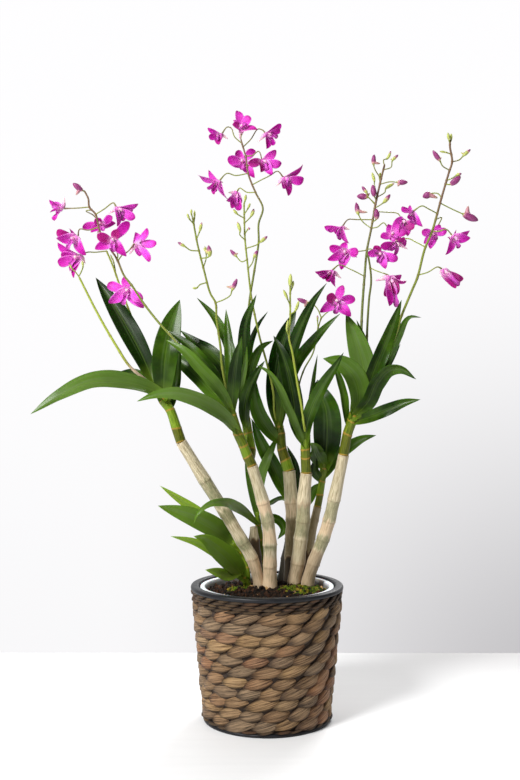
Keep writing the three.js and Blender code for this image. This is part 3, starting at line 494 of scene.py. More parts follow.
# %% Blades
def blade(mould, stations, columns, form, tint):
    """stations are (middle, ahead, normal, share). form(share, u) gives sideways, lift and thickness in
    metres at u from -1 to 1 across, and tint(share, u, upper) its colours."""
    across = [-math.cos(math.pi * i / columns) for i in range(columns + 1)]
    rings = []
    for middle, ahead, normal, share in stations:
        side = ahead.cross(normal).normalized()
        if form(share, 1)[0] <= 1e-6:
            rings.append([(middle + normal * form(share, 0)[1], (0, 1, share), tint(share, 0, 1))])
            continue
        ring = []
        for u, upper in [(u, 1) for u in across] + [(u, -1) for u in reversed(across[1:-1])]:
            sideways, lift, thick = form(share, u)
            spot = middle + side * sideways + normal * (lift + upper * thick / 2)
            ring.append((spot, (u, upper, share), tint(share, u, upper)))
        rings.append(ring)
    mould.loft(rings)


print("blades ready")

# %% [markdown]
# ## The pots
#
# The liner is one black plastic pot with a rolled rim. The rim is what the light catches, so its corners
# are rounded by a few more points, and the profile is spun round in fine steps. The nursery pot inside it
# is made the same way, and shows only its pale lip.

# %% Spinning a profile
def spun(name, profile, sides, finish, looped=False):
    """A body turned from (radius, height) in mm, up the outside and down the inside."""
    mould = Mould()
    rings = []
    for radius, height in profile:
        if radius == 0:
            rings.append([(Vector((0, 0, height * MM)), (0, 0, height), (0, 0, 0))])
            continue
        turns = [math.tau * i / sides for i in range(sides)]
        rings.append([(Vector((radius * math.sin(a), -radius * math.cos(a), height)) * MM,
                       (math.cos(a), math.sin(a), height), (0, 0, 0)) for a in turns])
    mould.loft(rings, looped)
    return mould.made(name, finish)


def rounded(corner, before, after, radius, steps=5):
    """Points of an arc that rounds the corner between two neighbours."""
    corner, before, after = Vector(corner), Vector(before), Vector(after)
    start = corner + (before - corner).normalized() * radius
    end = corner + (after - corner).normalized() * radius
    bend = []
    for i in range(steps + 1):
        t = i / steps
        bend.append(tuple((1 - t) ** 2 * start + 2 * t * (1 - t) * corner + t**2 * end))
    return bend


print("an arc:", [tuple(round(c, 1) for c in p) for p in rounded((0, 0), (0, -5), (5, 0), 2, 2)])

# %% Black liner and white nursery pot
LINER_HEIGHT, LINER_RIM, RIM_FOOT = 127, 72.4, 122.8  # mm, as are all sizes of the pots
LINER_THROAT, LINER_FOOT = 64.4, 60.6
LINER_BORE = 54.3  # radius inside at the foot
POT_TOP, POT_LIP, POT_MOUTH, POT_FOOT = 125.6, 64, 58.4, 47
POT_SIDES = 144

satin_black = Finish("satin_black_plastic", roughness=0.42, specular_ior_level=0.25)
fleck = satin_black.noise(satin_black.place(), 260, 4)
satin_black.drive("Base Color", satin_black.blend(fleck, (0.004, 0.004, 0.005), (0.016, 0.017, 0.02)))
satin_black.drive("Roughness", 0.3 + fleck * 0.25)
satin_black.bump(satin_black.noise(satin_black.place(), 900, 2), 0.0001, 0.5)

outer_top, inner_top = (LINER_RIM, LINER_HEIGHT), (LINER_THROAT + 0.7, LINER_HEIGHT)
liner_profile = [
    (LINER_FOOT - 1, 0), (LINER_FOOT - 0.3, 0.2), (LINER_FOOT, 1), (LINER_FOOT, 3), (LINER_FOOT - 5.2, 3.1),
    (LINER_THROAT + 1.2, RIM_FOOT - 0.3), (LINER_RIM - 1.2, RIM_FOOT), (LINER_RIM - 0.3, RIM_FOOT + 0.3),
    *rounded(outer_top, (LINER_RIM, RIM_FOOT), inner_top, 2.6),
    *rounded(inner_top, outer_top, (LINER_THROAT, RIM_FOOT), 1.4),
    (LINER_THROAT, RIM_FOOT), (LINER_BORE, 1.6), (0, 1.6),
]
standing_for(spun("liner_rim", liner_profile, POT_SIDES, satin_black), "black_plastic", "liner")

milky_white = Finish("milky_white_plastic", roughness=0.4, subsurface_weight=0.1, subsurface_scale=0.004)
smudge = milky_white.noise(milky_white.place(), 45, 4)
clean = milky_white.blend(smudge, (0.7, 0.73, 0.78), (0.84, 0.86, 0.89))
_, _, height = milky_white.parts(milky_white.place())
# Painted shade: below its lip the pot's inner wall darkens to a brownish grey, where it lies in shadow.
painted_shade_inside = 1 - (height + (smudge - 0.5) * 2 * MM).between(121.5 * MM, 125.2 * MM)
milky_white.drive("Base Color", milky_white.blend(painted_shade_inside * 0.85, clean, (0.1, 0.085, 0.065)))
milky_white.drive("Roughness", 0.32 + smudge * 0.2)

lip_top, lip_edge = (POT_MOUTH + 0.8, POT_TOP), (POT_LIP - 0.6, POT_TOP)
pot_profile = [
    (POT_FOOT - 1, 1.9), (POT_FOOT, 2.6), (POT_MOUTH + 0.6, POT_TOP - 6.2), (POT_LIP - 0.6, POT_TOP - 6),
    (POT_LIP, POT_TOP - 5.5), *rounded(lip_edge, (POT_LIP, POT_TOP - 6), lip_top, 1.2),
    *rounded(lip_top, lip_edge, (POT_MOUTH - 0.6, POT_TOP - 7), 1.2),
    (POT_MOUTH - 0.6, POT_TOP - 7), (POT_FOOT - 1, 2.9), (0, 2.9),
]
standing_for(spun("nursery_pot_lip", pot_profile, POT_SIDES, milky_white), "white_plastic", "nursery_pot")
print("liner profile of", len(liner_profile), "points")

# %% [markdown]
# ## The basket
#
# The sleeve is twined from water hyacinth. Pairs of soft flat strands run round and cross between the
# stakes, so each row is a chain of lens-shaped strands that all lean up to the right, and the rows are
# staggered. That is one shape on a regular set of places, which is what Geometry Nodes do best: points
# on a cone, one strand on each, and a little chance in size and lean so that no two are the same.
#
# A recipe here is a Geometry Nodes tree with named inputs. It is set through each input's identifier, run
# once, and turned into a plain mesh, so the modifier is gone before the piece joins the object.

# %% Geometry Nodes recipes
class Recipe(Nodes):
    """A Geometry Nodes tree with named sizes, which ends in Realize Instances and Set Material."""

    def __init__(self, name, sizes):
        super().__init__(bpy.data.node_groups.new(name, "GeometryNodeTree"))
        self.identifiers = {}
        sockets = [("Geometry", "NodeSocketGeometry"), ("Finish", "NodeSocketMaterial")]
        for word, kind in sockets + [(size, "NodeSocketFloat") for size in sizes]:
            made = self.tree.interface.new_socket(word, in_out="INPUT", socket_type=kind)
            self.identifiers[word] = made.identifier
        self.tree.interface.new_socket("Geometry", in_out="OUTPUT", socket_type="NodeSocketGeometry")
        self.entry = self.tree.nodes.new("NodeGroupInput")

    def size(self, name):
        return Value(self, self.entry.outputs[name])

    def chance(self, low, high, seed):
        """A number by chance for each point."""
        return self.node("FunctionNodeRandomValue", None, {"Min": low, "Max": high, "Seed": seed})

    def vector(self, x, y, z):
        return self.node("ShaderNodeCombineXYZ", None, {0: x, 1: y, 2: z})

    def stored(self, geometry, name, value, domain="INSTANCE"):
        settings = {"data_type": "FLOAT_VECTOR", "domain": domain}
        sockets = {"Geometry": geometry, "Name": name, "Value": value}
        return self.node("GeometryNodeStoreNamedAttribute", settings, sockets)

    def closed(self, geometry):
        """The last nodes of every recipe."""
        real = self.node("GeometryNodeRealizeInstances", None, {"Geometry": geometry})
        finish = Value(self, self.entry.outputs["Finish"])
        clad = self.node("GeometryNodeSetMaterial", None, {"Geometry": real, "Material": finish})
        exit_node = self.tree.nodes.new("NodeGroupOutput")
        self.tree.links.new(clad.socket, exit_node.inputs[0])

    def cooked(self, name, finish, sizes, base=None):
        """Runs the recipe on a base mesh, and returns the result as a plain piece."""
        base = base or bpy.data.meshes.new(name + "_base")
        carrier = added(name + "_carrier", base)
        modifier = carrier.modifiers.new("recipe", "NODES")
        modifier.node_group = self.tree
        modifier[self.identifiers["Finish"]] = finish.material
        for word, size in sizes.items():
            modifier[self.identifiers[word]] = float(size)
        evaluated = carrier.evaluated_get(bpy.context.evaluated_depsgraph_get())
        mesh = bpy.data.meshes.new_from_object(evaluated)
        carrier.modifiers.remove(modifier)
        bpy.data.objects.remove(carrier)
        print(name, "has", len(mesh.polygons), "faces")
        return finished(name, mesh, finish)


print("a recipe ends in Realize Instances and Set Material")

# %% One recipe for every strand of the basket
twining = Recipe("twining", ["Rows", "Strands a row", "Low", "High", "Foot radius", "Mouth radius", "Length",
                             "Width", "Depth", "Lean", "Shift", "Uneven", "Seed"])
size, chance, vector = twining.size, twining.chance, twining.vector
per_row = size("Strands a row")
index = twining.node("GeometryNodeInputIndex")
seed = size("Seed")
uneven = size("Uneven")
row = (index / per_row + 0.001).whole()
column = index - row * per_row
turn = (column + row * size("Shift") + chance(-0.1, 0.1, seed) * uneven) / per_row * math.tau
span = size("High") - size("Low")
raised = (row + 0.5) / size("Rows") + chance(-0.012, 0.012, seed + 1) * uneven
height = size("Low") + span * raised
radius = size("Foot radius") + (size("Mouth radius") - size("Foot radius")) * raised
radius = radius + chance(-0.5 * MM, 0.5 * MM, seed + 2) * uneven
spots = vector(radius * turn.sine(), radius * turn.cosine() * -1, height)
count = size("Rows") * per_row
points = twining.node("GeometryNodePoints", None, {"Count": count, "Position": spots})
print("twining takes", len(twining.identifiers) - 2, "sizes")

# %% The shape of one strand, and a strand at each place
STRAND_STEPS, STRAND_SIDES = 10, 8
grid_sizes = {"Size X": 2.0, "Size Y": 1.0, "Vertices X": STRAND_STEPS + 1, "Vertices Y": STRAND_SIDES + 1}
flat = twining.node("GeometryNodeMeshGrid", None, grid_sizes, "Mesh")
t, v, _ = twining.parts(twining.node("GeometryNodeInputPosition"))
around = (v + 0.5) * math.tau
fatness = (1 - t.size() ** 1.7).over(0) ** 0.85
half_length = size("Length") * 0.5
thick = size("Depth") * 0.5 * fatness
sag = (t * t) * (half_length * half_length) / (size("Mouth radius") * 2)
dive = (t + 0.15) ** 2 * size("Depth") * 0.3 + t * size("Depth") * 0.3
squared = around.cosine() * (1 + around.sine() ** 2 * 0.35)
lens_form = vector(t * half_length, sag + dive - squared * thick,
                   size("Width") * 0.5 * fatness * around.sine())
beside = around.sine() * (fatness * 0.65 + 0.35)
skinned = twining.stored(flat, "skin", vector(around.cosine(), beside, t), "POINT")
shaped = twining.node("GeometryNodeSetPosition", None, {"Geometry": skinned, "Position": lens_form})
sealed = twining.node("GeometryNodeMergeByDistance", None, {"Geometry": shaped, "Distance": 0.05 * MM})

lean = size("Lean") * (1 + turn.sine() * 0.25) + chance(-0.09, 0.09, seed + 3) * uneven
settled = twining.node("FunctionNodeEulerToRotation", None, {0: vector(-0.085, lean * -1, turn)})
sizing = vector(1 + chance(-0.14, 0.12, seed + 4) * uneven, 1.0,
                1 + chance(-0.14, 0.1, seed + 5) * uneven)
strands = twining.node("GeometryNodeInstanceOnPoints", None, {
    "Points": points, "Instance": sealed, "Rotation": settled, "Scale": sizing})
tones = vector(chance(0.0, 1.0, seed + 6), chance(0.0, 1.0, seed + 7), chance(0.0, 1.0, seed + 8))
twining.closed(twining.stored(strands, "tint", tones))
print("a strand has", STRAND_STEPS * STRAND_SIDES, "faces at most")

# %% [markdown]
# Dried water hyacinth is a bundle of coarse fibres. Most strands are brown, some greyed, some golden tan and
# some reddish. A painted highlight makes each palest along its crown, and painted shade darkens it where it
# dives under the next. The fibres come from noise that is stretched along the strand's own skin, so they
# follow its lean, and they drive the bump as well. The two borders are of thinner, darker strands, which
# carry more painted shade as well.

# %% Dried hyacinth
def dried(name, dark_and_shaded):
    hyacinth = Finish(name, roughness=0.62, specular_ior_level=0.3)
    blend = hyacinth.blend
    skin, tint = hyacinth.carried("skin"), hyacinth.carried("tint")
    around, beside, along = hyacinth.parts(skin)
    luck, hue, age = hyacinth.parts(tint)
    shifted = hyacinth.node("ShaderNodeVectorMath", {"operation": "ADD"},
                            {0: hyacinth.stretched(skin, 0.5, 5.4, 0.5),
                             1: hyacinth.stretched(tint, 31, 17, 23)})
    fibres = hyacinth.noise(shifted, 1.2, 2, 0.5)
    threads = hyacinth.noise(shifted, 4.5, 3, 0.7)
    strong = (fibres * 0.5 + threads * 0.5).between(0.36, 0.62)
    brown = blend(strong, (0.034, 0.016, 0.006), (0.25, 0.138, 0.06))
    greyed = blend(strong, (0.034, 0.022, 0.014), (0.21, 0.145, 0.088))
    golden = blend(strong, (0.1, 0.048, 0.015), (0.44, 0.27, 0.11))
    reddish = blend(strong, (0.06, 0.02, 0.009), (0.32, 0.125, 0.05))
    coloured = blend(age.between(0.35, 0.75) * 0.8, brown, greyed)
    coloured = blend(luck.between(0.6, 1.0) * 0.8, coloured, golden)
    coloured = blend(hue.between(0.72, 0.95) * 0.8, coloured, reddish)
    # Painted highlight: each strand is palest along its crown.
    crown = (1 - along.size()).between(0.1, 0.9) * (1 - beside.size() * 0.6)
    coloured = blend(crown * strong * 0.4, coloured, (0.5, 0.34, 0.19))
    # Painted shade: darker at the ends and sides, where a strand dives under its neighbours, and more on the
    # borders.
    shadow = along.size().between(0.45, 0.95) * 0.8 + beside.size().between(0.5, 0.95) * 0.8
    coloured = blend((shadow + dark_and_shaded).under(0.94), coloured, (0.016, 0.008, 0.004))
    hyacinth.drive("Base Color", coloured)
    hyacinth.drive("Roughness", 0.5 + threads * 0.3)
    hyacinth.bump(fibres * 0.75 + threads * 0.25, 0.002, 1.0)
    return hyacinth


strand_finish = dried("dried_hyacinth", 0.0)
# The border strands are darker, and carry more painted shade than the weave.
border_finish = dried("dark_hyacinth", 0.6)

# A dark sheet behind the strands: painted shade for what shows through the gaps between them.
gap_shade_core = Finish("dark_inner_weave", roughness=0.9)
gloom = gap_shade_core.noise(gap_shade_core.stretched(gap_shade_core.place(), 1, 1, 5), 90, 4)
gap_shade_core.drive("Base Color", gap_shade_core.blend(gloom, (0.01, 0.007, 0.005), (0.06, 0.036, 0.022)))
gap_shade_core.bump(gloom, 0.002, 1.0)
print("finishes:", strand_finish.material.name, border_finish.material.name, gap_shade_core.material.name)

# %% The woven sleeve
SLEEVE_LOW, SLEEVE_HIGH = 3.3, 120.7
SLEEVE_FOOT, SLEEVE_MOUTH = 60.0, 70.2  # mean radius of the strands' backs
CORE_SIDES = 96
core_profile = [
    (SLEEVE_FOOT - 4, SLEEVE_LOW), (SLEEVE_FOOT - 1.6, SLEEVE_LOW), (SLEEVE_MOUTH - 1.6, SLEEVE_HIGH),
    (SLEEVE_MOUTH - 4, SLEEVE_HIGH),
]
spun("basket_core", core_profile, CORE_SIDES, gap_shade_core, looped=True)

weave_sizes = {
    "Rows": 11, "Strands a row": 17, "Low": (SLEEVE_LOW + 3) * MM, "High": (SLEEVE_HIGH - 6) * MM,
    "Foot radius": (SLEEVE_FOOT - 1.4) * MM, "Mouth radius": (SLEEVE_MOUTH - 1.4) * MM, "Length": 38 * MM,
    "Width": 14 * MM, "Depth": 5.4 * MM, "Lean": 0.26, "Shift": 0.43, "Uneven": 1, "Seed": 4,
}
basket = twining.cooked("basket_strands", strand_finish, weave_sizes)
standing_for(basket, "weave", "basket")

border_sizes = {
    "Length": 22 * MM, "Width": 3.4 * MM, "Depth": 3 * MM, "Lean": 0.11, "Shift": 0.37, "Uneven": 1}
top_border = {
    "Rows": 4, "Strands a row": 30, "Low": 112.2 * MM, "High": 123.2 * MM, "Foot radius": 69.5 * MM,
    "Mouth radius": 70.6 * MM, "Seed": 11}
foot_border = {
    "Rows": 1, "Strands a row": 26, "Low": 3 * MM, "High": 6.4 * MM, "Foot radius": 60.3 * MM,
    "Mouth radius": 60.3 * MM, "Seed": 23}
for name, place in (("basket_top_border", top_border), ("basket_foot_border", foot_border)):
    twining.cooked(name, border_finish, {**border_sizes, **place})

# %% [markdown]
# ## The potting mix
#
# Orchids grow in coarse bark. The mix is a low mound with a rough surface. On it lie chips of bark in every
# size, which one recipe scatters with a random turn and stretch. Moss grows mostly between the canes on the
# right: there the same recipe scatters small green tufts instead.

# %% The mound
SOIL_EDGE, SOIL_MOUND, SOIL_RADIUS = 119.0, 3.5, 57.6
FOOT_SHARE, SOIL_FOOT = 0.8, 3.4  # the mix narrows down to the pot's floor
MOUND_RINGS, MOUND_SIDES = 33, 120


def soil_height(x, y):
    """Height of the mix in mm over a place in mm."""
    share = min(1.0, math.hypot(x, y) / SOIL_RADIUS)
    lump = math.sin(x * 0.31 + 1.2) * math.cos(y * 0.27) + 0.6 * math.sin(x * 0.13 - y * 0.45)
    crumbs = 1.3 * noise.noise(Vector((x, y, 3)) * 0.22) + 0.7 * noise.noise(Vector((x, y, 8)) * 0.6)
    return SOIL_EDGE + SOIL_MOUND * math.cos(share * math.pi / 2) + (lump + crumbs) * min(1, 6 * (1 - share))


damp_mix = Finish("damp_bark_mix", roughness=0.9, specular_ior_level=0.15)
crumb = damp_mix.noise(damp_mix.place(), 420, 5, 0.7)
clods = damp_mix.cells(damp_mix.place(), 330)
damp = damp_mix.blend(crumb.between(0.4, 0.75), (0.003, 0.002, 0.0015), (0.05, 0.024, 0.011))
damp_mix.drive("Base Color", damp)
damp_mix.bump(crumb + clods, 0.002, 0.9)

mound = Mould()
mound_rings = []
for ring in range(MOUND_RINGS + 1):
    if ring == 0:
        reach, level = (SOIL_RADIUS - 2) * FOOT_SHARE, SOIL_FOOT
    elif ring == 1:
        reach, level = SOIL_RADIUS - 0.4, SOIL_EDGE - 4
    else:
        reach, level = (SOIL_RADIUS - 0.4) * (MOUND_RINGS - ring) / (MOUND_RINGS - 2), None
    points = []
    for i in range(MOUND_SIDES):
        x = reach * math.sin(math.tau * i / MOUND_SIDES)
        y = -reach * math.cos(math.tau * i / MOUND_SIDES)
        points.append((Vector((x, y, level or soil_height(x, y))) * MM, (x, y, 0), (0, 0, 0)))
    mound_rings.append(points[:1] if ring == MOUND_RINGS else points)
mound.loft(mound_rings)
soil = standing_for(mound.made("potting_mix_mound", damp_mix), "mix", "potting_mix")
print("mound", len(soil.data.polygons), "faces")

# %% Scattering on the mound
scatter = Recipe("scatter", [
    "Density", "Least", "Most", "Flatness", "Patch x", "Patch y", "Patch radius", "Seed"])
size, chance = scatter.size, scatter.chance
ground = Value(scatter, scatter.entry.outputs["Geometry"])
x, y, z = scatter.parts(scatter.node("GeometryNodeInputPosition"))
ragged = scatter.node("ShaderNodeTexNoise", None, {"Scale": 120.0}) * 0.02 - 0.01
apart = ((x - size("Patch x")) ** 2 + (y - size("Patch y")) ** 2) ** 0.5 + ragged
inside = scatter.math("LESS_THAN", apart, size("Patch radius"))
on_top = scatter.math("GREATER_THAN", z, (SOIL_EDGE - 1) * MM)
seed = size("Seed")
spots = scatter.node("GeometryNodeDistributePointsOnFaces", None, {
    "Mesh": ground, "Selection": inside * on_top, "Density": size("Density"), "Seed": seed})
crumb_shape = scatter.node("GeometryNodeMeshIcoSphere", None, {"Radius": 1.0, "Subdivisions": 1}, "Mesh")
turned = scatter.node("FunctionNodeEulerToRotation", None, {0: scatter.node(
    "FunctionNodeRandomValue", {"data_type": "FLOAT_VECTOR"},
    {"Min": (0.0, 0.0, 0.0), "Max": (6.3, 6.3, 6.3), "Seed": seed + 1})})
bulk = chance(0.0, 1.0, seed + 2) ** 3
bulk = size("Least") + (size("Most") - size("Least")) * bulk
form = scatter.vector(bulk, bulk * chance(0.45, 0.9, seed + 3), bulk * size("Flatness"))
crumbs = scatter.node("GeometryNodeInstanceOnPoints", None, {
    "Points": spots, "Instance": crumb_shape, "Rotation": turned, "Scale": form})
tones = scatter.vector(chance(0.0, 1.0, seed + 4), chance(0.0, 1.0, seed + 5), 0.0)
scatter.closed(scatter.stored(crumbs, "tint", tones))

bark = Finish("bark_chips", roughness=0.85, specular_ior_level=0.2)
luck, hue, _ = bark.parts(bark.carried("tint"))
fleck = bark.noise(bark.place(), 700, 3)
dark_bark = bark.blend(luck.between(0.3, 1.0), (0.004, 0.0025, 0.0015), (0.055, 0.02, 0.007))
coloured = bark.blend(hue.between(0.95, 0.98), dark_bark, (0.55, 0.33, 0.14))
bark.drive("Base Color", bark.blend(fleck.between(0.3, 0.8) * 0.5, coloured, (0.02, 0.012, 0.007)))
bark.bump(fleck, 0.0008)

moss = Finish("moss", roughness=0.9, specular_ior_level=0.1)
luck, hue, _ = moss.parts(moss.carried("tint"))
green = moss.blend(luck, (0.008, 0.02, 0.001), (0.1, 0.15, 0.008))
moss.drive("Base Color", moss.blend(hue.between(0.62, 0.95), green, (0.25, 0.18, 0.02)))
moss.bump(moss.noise(moss.place(), 900, 3), 0.0008)

everywhere = {"Patch x": 0, "Patch y": 0, "Patch radius": 0.2}
chips = scatter.cooked("bark_chips", bark, {
    **everywhere, "Density": 160000, "Least": 0.7 * MM, "Most": 4.2 * MM, "Flatness": 0.4, "Seed": 3,
}, soil.data)
for name, px, py, reach, seed_number in (("moss_middle", 26, -2, 17, 5), ("moss_right", 43, 2, 15, 9),
                                         ("moss_left", -30, 0, 9, 12)):
    tufts = scatter.cooked(name, moss, {
        "Patch x": px * MM, "Patch y": py * MM, "Patch radius": reach * MM, "Density": 1500000,
        "Least": 0.7 * MM, "Most": 3 * MM, "Flatness": 0.6, "Seed": seed_number}, soil.data)

# %% [markdown]
# ## The canes
#
# A cane is a swollen stem, jointed like bamboo, that stores water. Old canes lose their green. Each joint is
# wrapped in a dry papery sheath: ivory and tan, streaked lengthwise, with a greenish or pink skin showing
# through in bands and a brown ring at each node. The sheath starts a little proud of the node and thins
# towards the next, so the outline steps gently.
#
# The places below run up each cane from the mix, with a node and a radius at each.

# %% Where the canes stand
CANES = {
    "a": [(-7.6, 126.7, 9, 5.4), (-14.2, 150.5, 7, 5.9), (-22.8, 165.7, 6, 6.1), (-38.5, 192.3, 4, 6.2),
          (-58.9, 224.6, 0, 6.1), (-81.7, 261.6, -5, 5.2)],
    "b": [(2.6, 123.9, 2, 6.8), (2.8, 143.8, 1, 6.6), (2.8, 163.8, -2, 6.5), (0.5, 186.6, -5, 6.2),
          (-3.8, 203.7, -8, 6.1), (-14.2, 238.8, -13, 5.2)],
    "c": [(20.9, 129.6, 34, 5.4), (22.3, 152.4, 34, 6), (23.3, 173.3, 35, 6.4), (24.2, 186.6, 35, 6.7),
          (23.3, 203.7, 35, 6.8), (20.9, 234.1, 34, 6.3)],
    "d": [(25.6, 128.6, 20, 6.2), (29.1, 146.1, 19, 6.9), (31.9, 169.1, 18, 6.9), (34.2, 186.6, 16, 6.8),
          (34.8, 203.7, 13, 6.7), (37.3, 232.2, 8, 5.6)],
    "e": [(38.5, 126.7, 14, 6.2), (44, 146.1, 11, 6.2), (53.2, 169.1, 7, 6.2), (58.9, 186.6, 4, 6.1),
          (63.6, 206.5, 1, 6), (72.8, 249.3, -6, 5.2)],
    "f": [(35.9, 130.5, 33, 4.2), (39.4, 151.9, 33, 4.2), (41.7, 169.1, 34, 4.1), (45.1, 186.6, 35, 4),
          (48, 199.9, 35, 4)],
    "g": [(-8.5, 130.5, 36, 4.6), (-10.4, 152.4, 37, 5.2), (-12.3, 167.6, 36, 5.4),
          (-12.8, 180.9, 35, 3.6)],
    "h": [(15.2, 130.5, 46, 5), (18.1, 149.5, 47.5, 5.4), (21.8, 168.5, 49, 5), (24.7, 187.5, 50, 4.6),
          (25.6, 198, 50, 4.2)],
}
ROOTED = 22  # mm that canes and shoots stand in the mix
# Bands of other colour up a cane, from one height to another in mm: how green, pink and brown they are.
# Brown above 1 turns nearly black: painted shade on the old feet of the canes behind, deep among the others.
BANDS = {
    "a": [(202, 226, 0.9), (185, 198, 1, 0, 0.2), (159, 169, 0.8), (228, 258, 0.2), (120, 150, 0, 0.8)],
    "b": [(197, 207, 0, 0.8), (182, 196, 0.8), (159, 164, 0.8), (166, 180, 0, 0.7), (120, 154, 0, 0.8),
          (209, 236, 0.25)],
    "c": [(205, 234, 0.4), (186, 202, 0, 0.5), (147, 185, 0.9, 0, 0.6), (110, 146, 0, 0, 1.8)],
    "d": [(170, 200, 0.75), (200, 204, 0, 0.4, 0.4), (140, 168, 0.3, 0.1), (120, 147, 0, 0.5, 0.1)],
    "e": [(211, 248, 0.15), (188, 206, 0.7), (173, 187, 0, 0.7), (159, 172, 0.8),
          (120, 157, 0, 0.4, 0.45)],
    "f": [(153, 200, 0.5, 0, 0.4), (110, 152, 0.5, 0, 1.6)],
    "g": [(110, 165, 0.6, 0, 1.5)],
    "h": [(164, 200, 0.5, 0, 0.9), (110, 163, 0.5, 0, 1.9)],
}
print(len(CANES), "canes")

# %% Growing a cane
def rooted(places):
    """The line of a cane or shoot, straight down into the mix from its first place."""
    points = [placed(place) for place in places]
    return Way([points[0] - Vector((0, 0, ROOTED * MM)), *points])


def banded(bands, point, wobble):
    """How green, pink and brown a cane is at a point."""
    height = point.z / MM + wobble
    shares = [0.0, 0.0, 0.0]
    for low, high, *band in bands:
        soft = min(1, max(0, (height - low) / 3 + 0.5)) * min(1, max(0, (high - height) / 3 + 0.5))
        for i, share in enumerate(band):
            shares[i] = max(shares[i], share * soft)
    return tuple(shares)


CANE_STEP, CANE_SIDES = 1.1, 30  # mm from ring to ring, and points round a ring
WAIST = 0.94  # how thin a cane is midway between two nodes
NODE_RING, SHEATH_PROUD, WRINKLE = 0.32, 0.28, 0.16  # mm


def cane(name, finish):
    way = rooted(CANES[name])
    nodes = [way.length_at(k / way.spans) / MM for k in range(way.spans + 1)]
    radii = [CANES[name][0][3] * 0.9] + [place[3] for place in CANES[name]]
    stops = []
    for k, radius in enumerate(radii):
        if k:
            stops.append(((nodes[k - 1] + nodes[k]) / 2, WAIST * (radii[k - 1] + radius) / 2))
        stops.append((nodes[k], radius))
    grain = sum(ord(letter) for letter in name)

    def ragged(k, turn):
        return 0.8 * noise.noise(Vector((math.cos(turn) * 1.3, math.sin(turn) * 1.3, k * 3.7 + grain)))

    def radius(length, share, turn):
        length /= MM
        reach = flowing(stops, length)
        for k, node in enumerate(nodes[:-1]):
            past = length - node - ragged(k, turn)
            reach += NODE_RING * math.exp(-(past / 0.7) ** 2)
            if 0 < past < nodes[k + 1] - node:
                reach += SHEATH_PROUD * (1 - past / (nodes[k + 1] - node))
        wrinkle = noise.noise(Vector((math.cos(turn) * 5, math.sin(turn) * 5, length * 0.03 + grain)))
        return (reach + WRINKLE * wrinkle) * MM

    def tint(length, share, turn):
        wobble = 5 * noise.noise(Vector((math.cos(turn) * 2, math.sin(turn) * 2, length * 60 + grain)))
        green, pink, brown = banded(BANDS[name], way.after(length)[0], wobble)
        for k, node in enumerate(nodes[1:]):
            past = length / MM - node - ragged(k + 1, turn)
            brown = max(brown, 0.42 * math.exp(-((past + 0.6) / 0.5) ** 2))
        return green, pink, brown

    mould = Mould()
    tube(mould, way, int(way.length / MM / CANE_STEP), CANE_SIDES, radius, tint)
    return standing_for(mould.made("papery_cane_" + name, finish), "cane", "cane_" + name)


print("a cane has a ring at every node")

# %% Papery sheaths
papery = Finish("papery_sheath", roughness=0.6, sheen_weight=0.15, sheen_roughness=0.5)
blend = papery.blend
skin = papery.carried("skin")
green, pink, brown = papery.parts(papery.carried("tint"))
streaks = papery.noise(papery.stretched(skin, 3.2, 3.2, 0.05), 1.6, 5, 0.62)
threads = papery.noise(papery.stretched(skin, 9, 9, 0.06), 1.5, 3, 0.7)
blotches = papery.noise(papery.stretched(skin, 1, 1, 0.16), 1.3, 3)
dry = blend(streaks.between(0.3, 0.62), (0.26, 0.2, 0.1), (0.64, 0.55, 0.37))
dry = blend(threads.between(0.54, 0.75) * 0.5, dry, (0.22, 0.15, 0.07))
torn = (streaks + blotches * 0.7).between(0.62, 0.95)
skinned = blend(threads.between(0.4, 0.6), (0.32, 0.3, 0.16), (0.08, 0.1, 0.022))
coloured = blend(green * (0.45 + torn * 0.55), dry, skinned)
coloured = blend(pink * (0.4 + torn * 0.5), coloured, (0.63, 0.44, 0.27))
coloured = blend((brown * (0.55 + streaks * 0.7)).under(0.95), coloured, (0.13, 0.065, 0.022))
# Painted shade: brown above 1 darkens the feet of the canes behind to nearly black.
coloured = blend((brown - 1).over(0).under(0.95), coloured, (0.009, 0.009, 0.003))
papery.drive("Base Color", coloured)
papery.drive("Roughness", 0.48 + streaks * 0.3)
papery.bump(streaks * 0.65 + threads * 0.35, 0.0007, 0.7)

for name in CANES:
    cane(name, papery)

# %% [markdown]
# ## Necks and leaves
#
# Above its papery part each cane ends in a green neck. Leaves grow from its joints, and the foot of each is
# folded round the neck. Young shoots come straight out of the mix and are green all the way. A leafy top is
# one CAD node, and here it is two pieces: its stems, and its leaves as blades that start on their middle.

# %% Where necks, shoots and leaves grow
NECKS = {
    "a": [(-81.7, 261.6, -5, 4.9), (-86.2, 275, -6, 4.8), (-92.1, 292, -8, 4.4), (-98.8, 301.5, -8, 4.6),
          (-106.4, 314.8, -8, 3.2)],
    "b": [(-14.2, 238.8, -13, 4.9), (-18.7, 248.6, -14, 5), (-22.8, 258.8, -16, 4.6),
          (-27.5, 269.2, -17, 4.6), (-33.2, 288.2, -20, 4), (-37.5, 304.4, -22, 2.4)],
    "c": [(20.9, 234.1, 34, 5.8), (17.5, 244.5, 34, 5.6), (14.1, 255.5, 34, 4.8), (12.9, 269.2, 34, 4.6),
          (11.4, 276.8, 33, 4.2), (9.5, 287.3, 32, 2.8)],
    "d": [(37.3, 232.2, 8, 5), (36.5, 247.4, 5, 4.6), (36.6, 255, 3, 4.8), (37, 267.3, 1, 4.2),
          (37, 278.7, -1, 2.8)],
    "e": [(72.8, 249.3, -6, 4.8), (76.5, 269.2, -9, 4.6), (80.8, 281.6, -11, 4.6), (82.2, 287.3, -12, 4.4),
          (84.5, 297.7, -12, 2.8)],
    "f": [(48, 199.9, 35, 3.7), (50.3, 211.3, 34, 3.5), (52.2, 224.6, 32, 3.5), (54.1, 237.9, 29, 3.8),
          (55.1, 246.4, 27, 2.6)],
    "h": [(25.6, 198, 50, 3.8), (26.6, 205.6, 49, 3.4), (27.5, 213.2, 48, 2.2)],
}
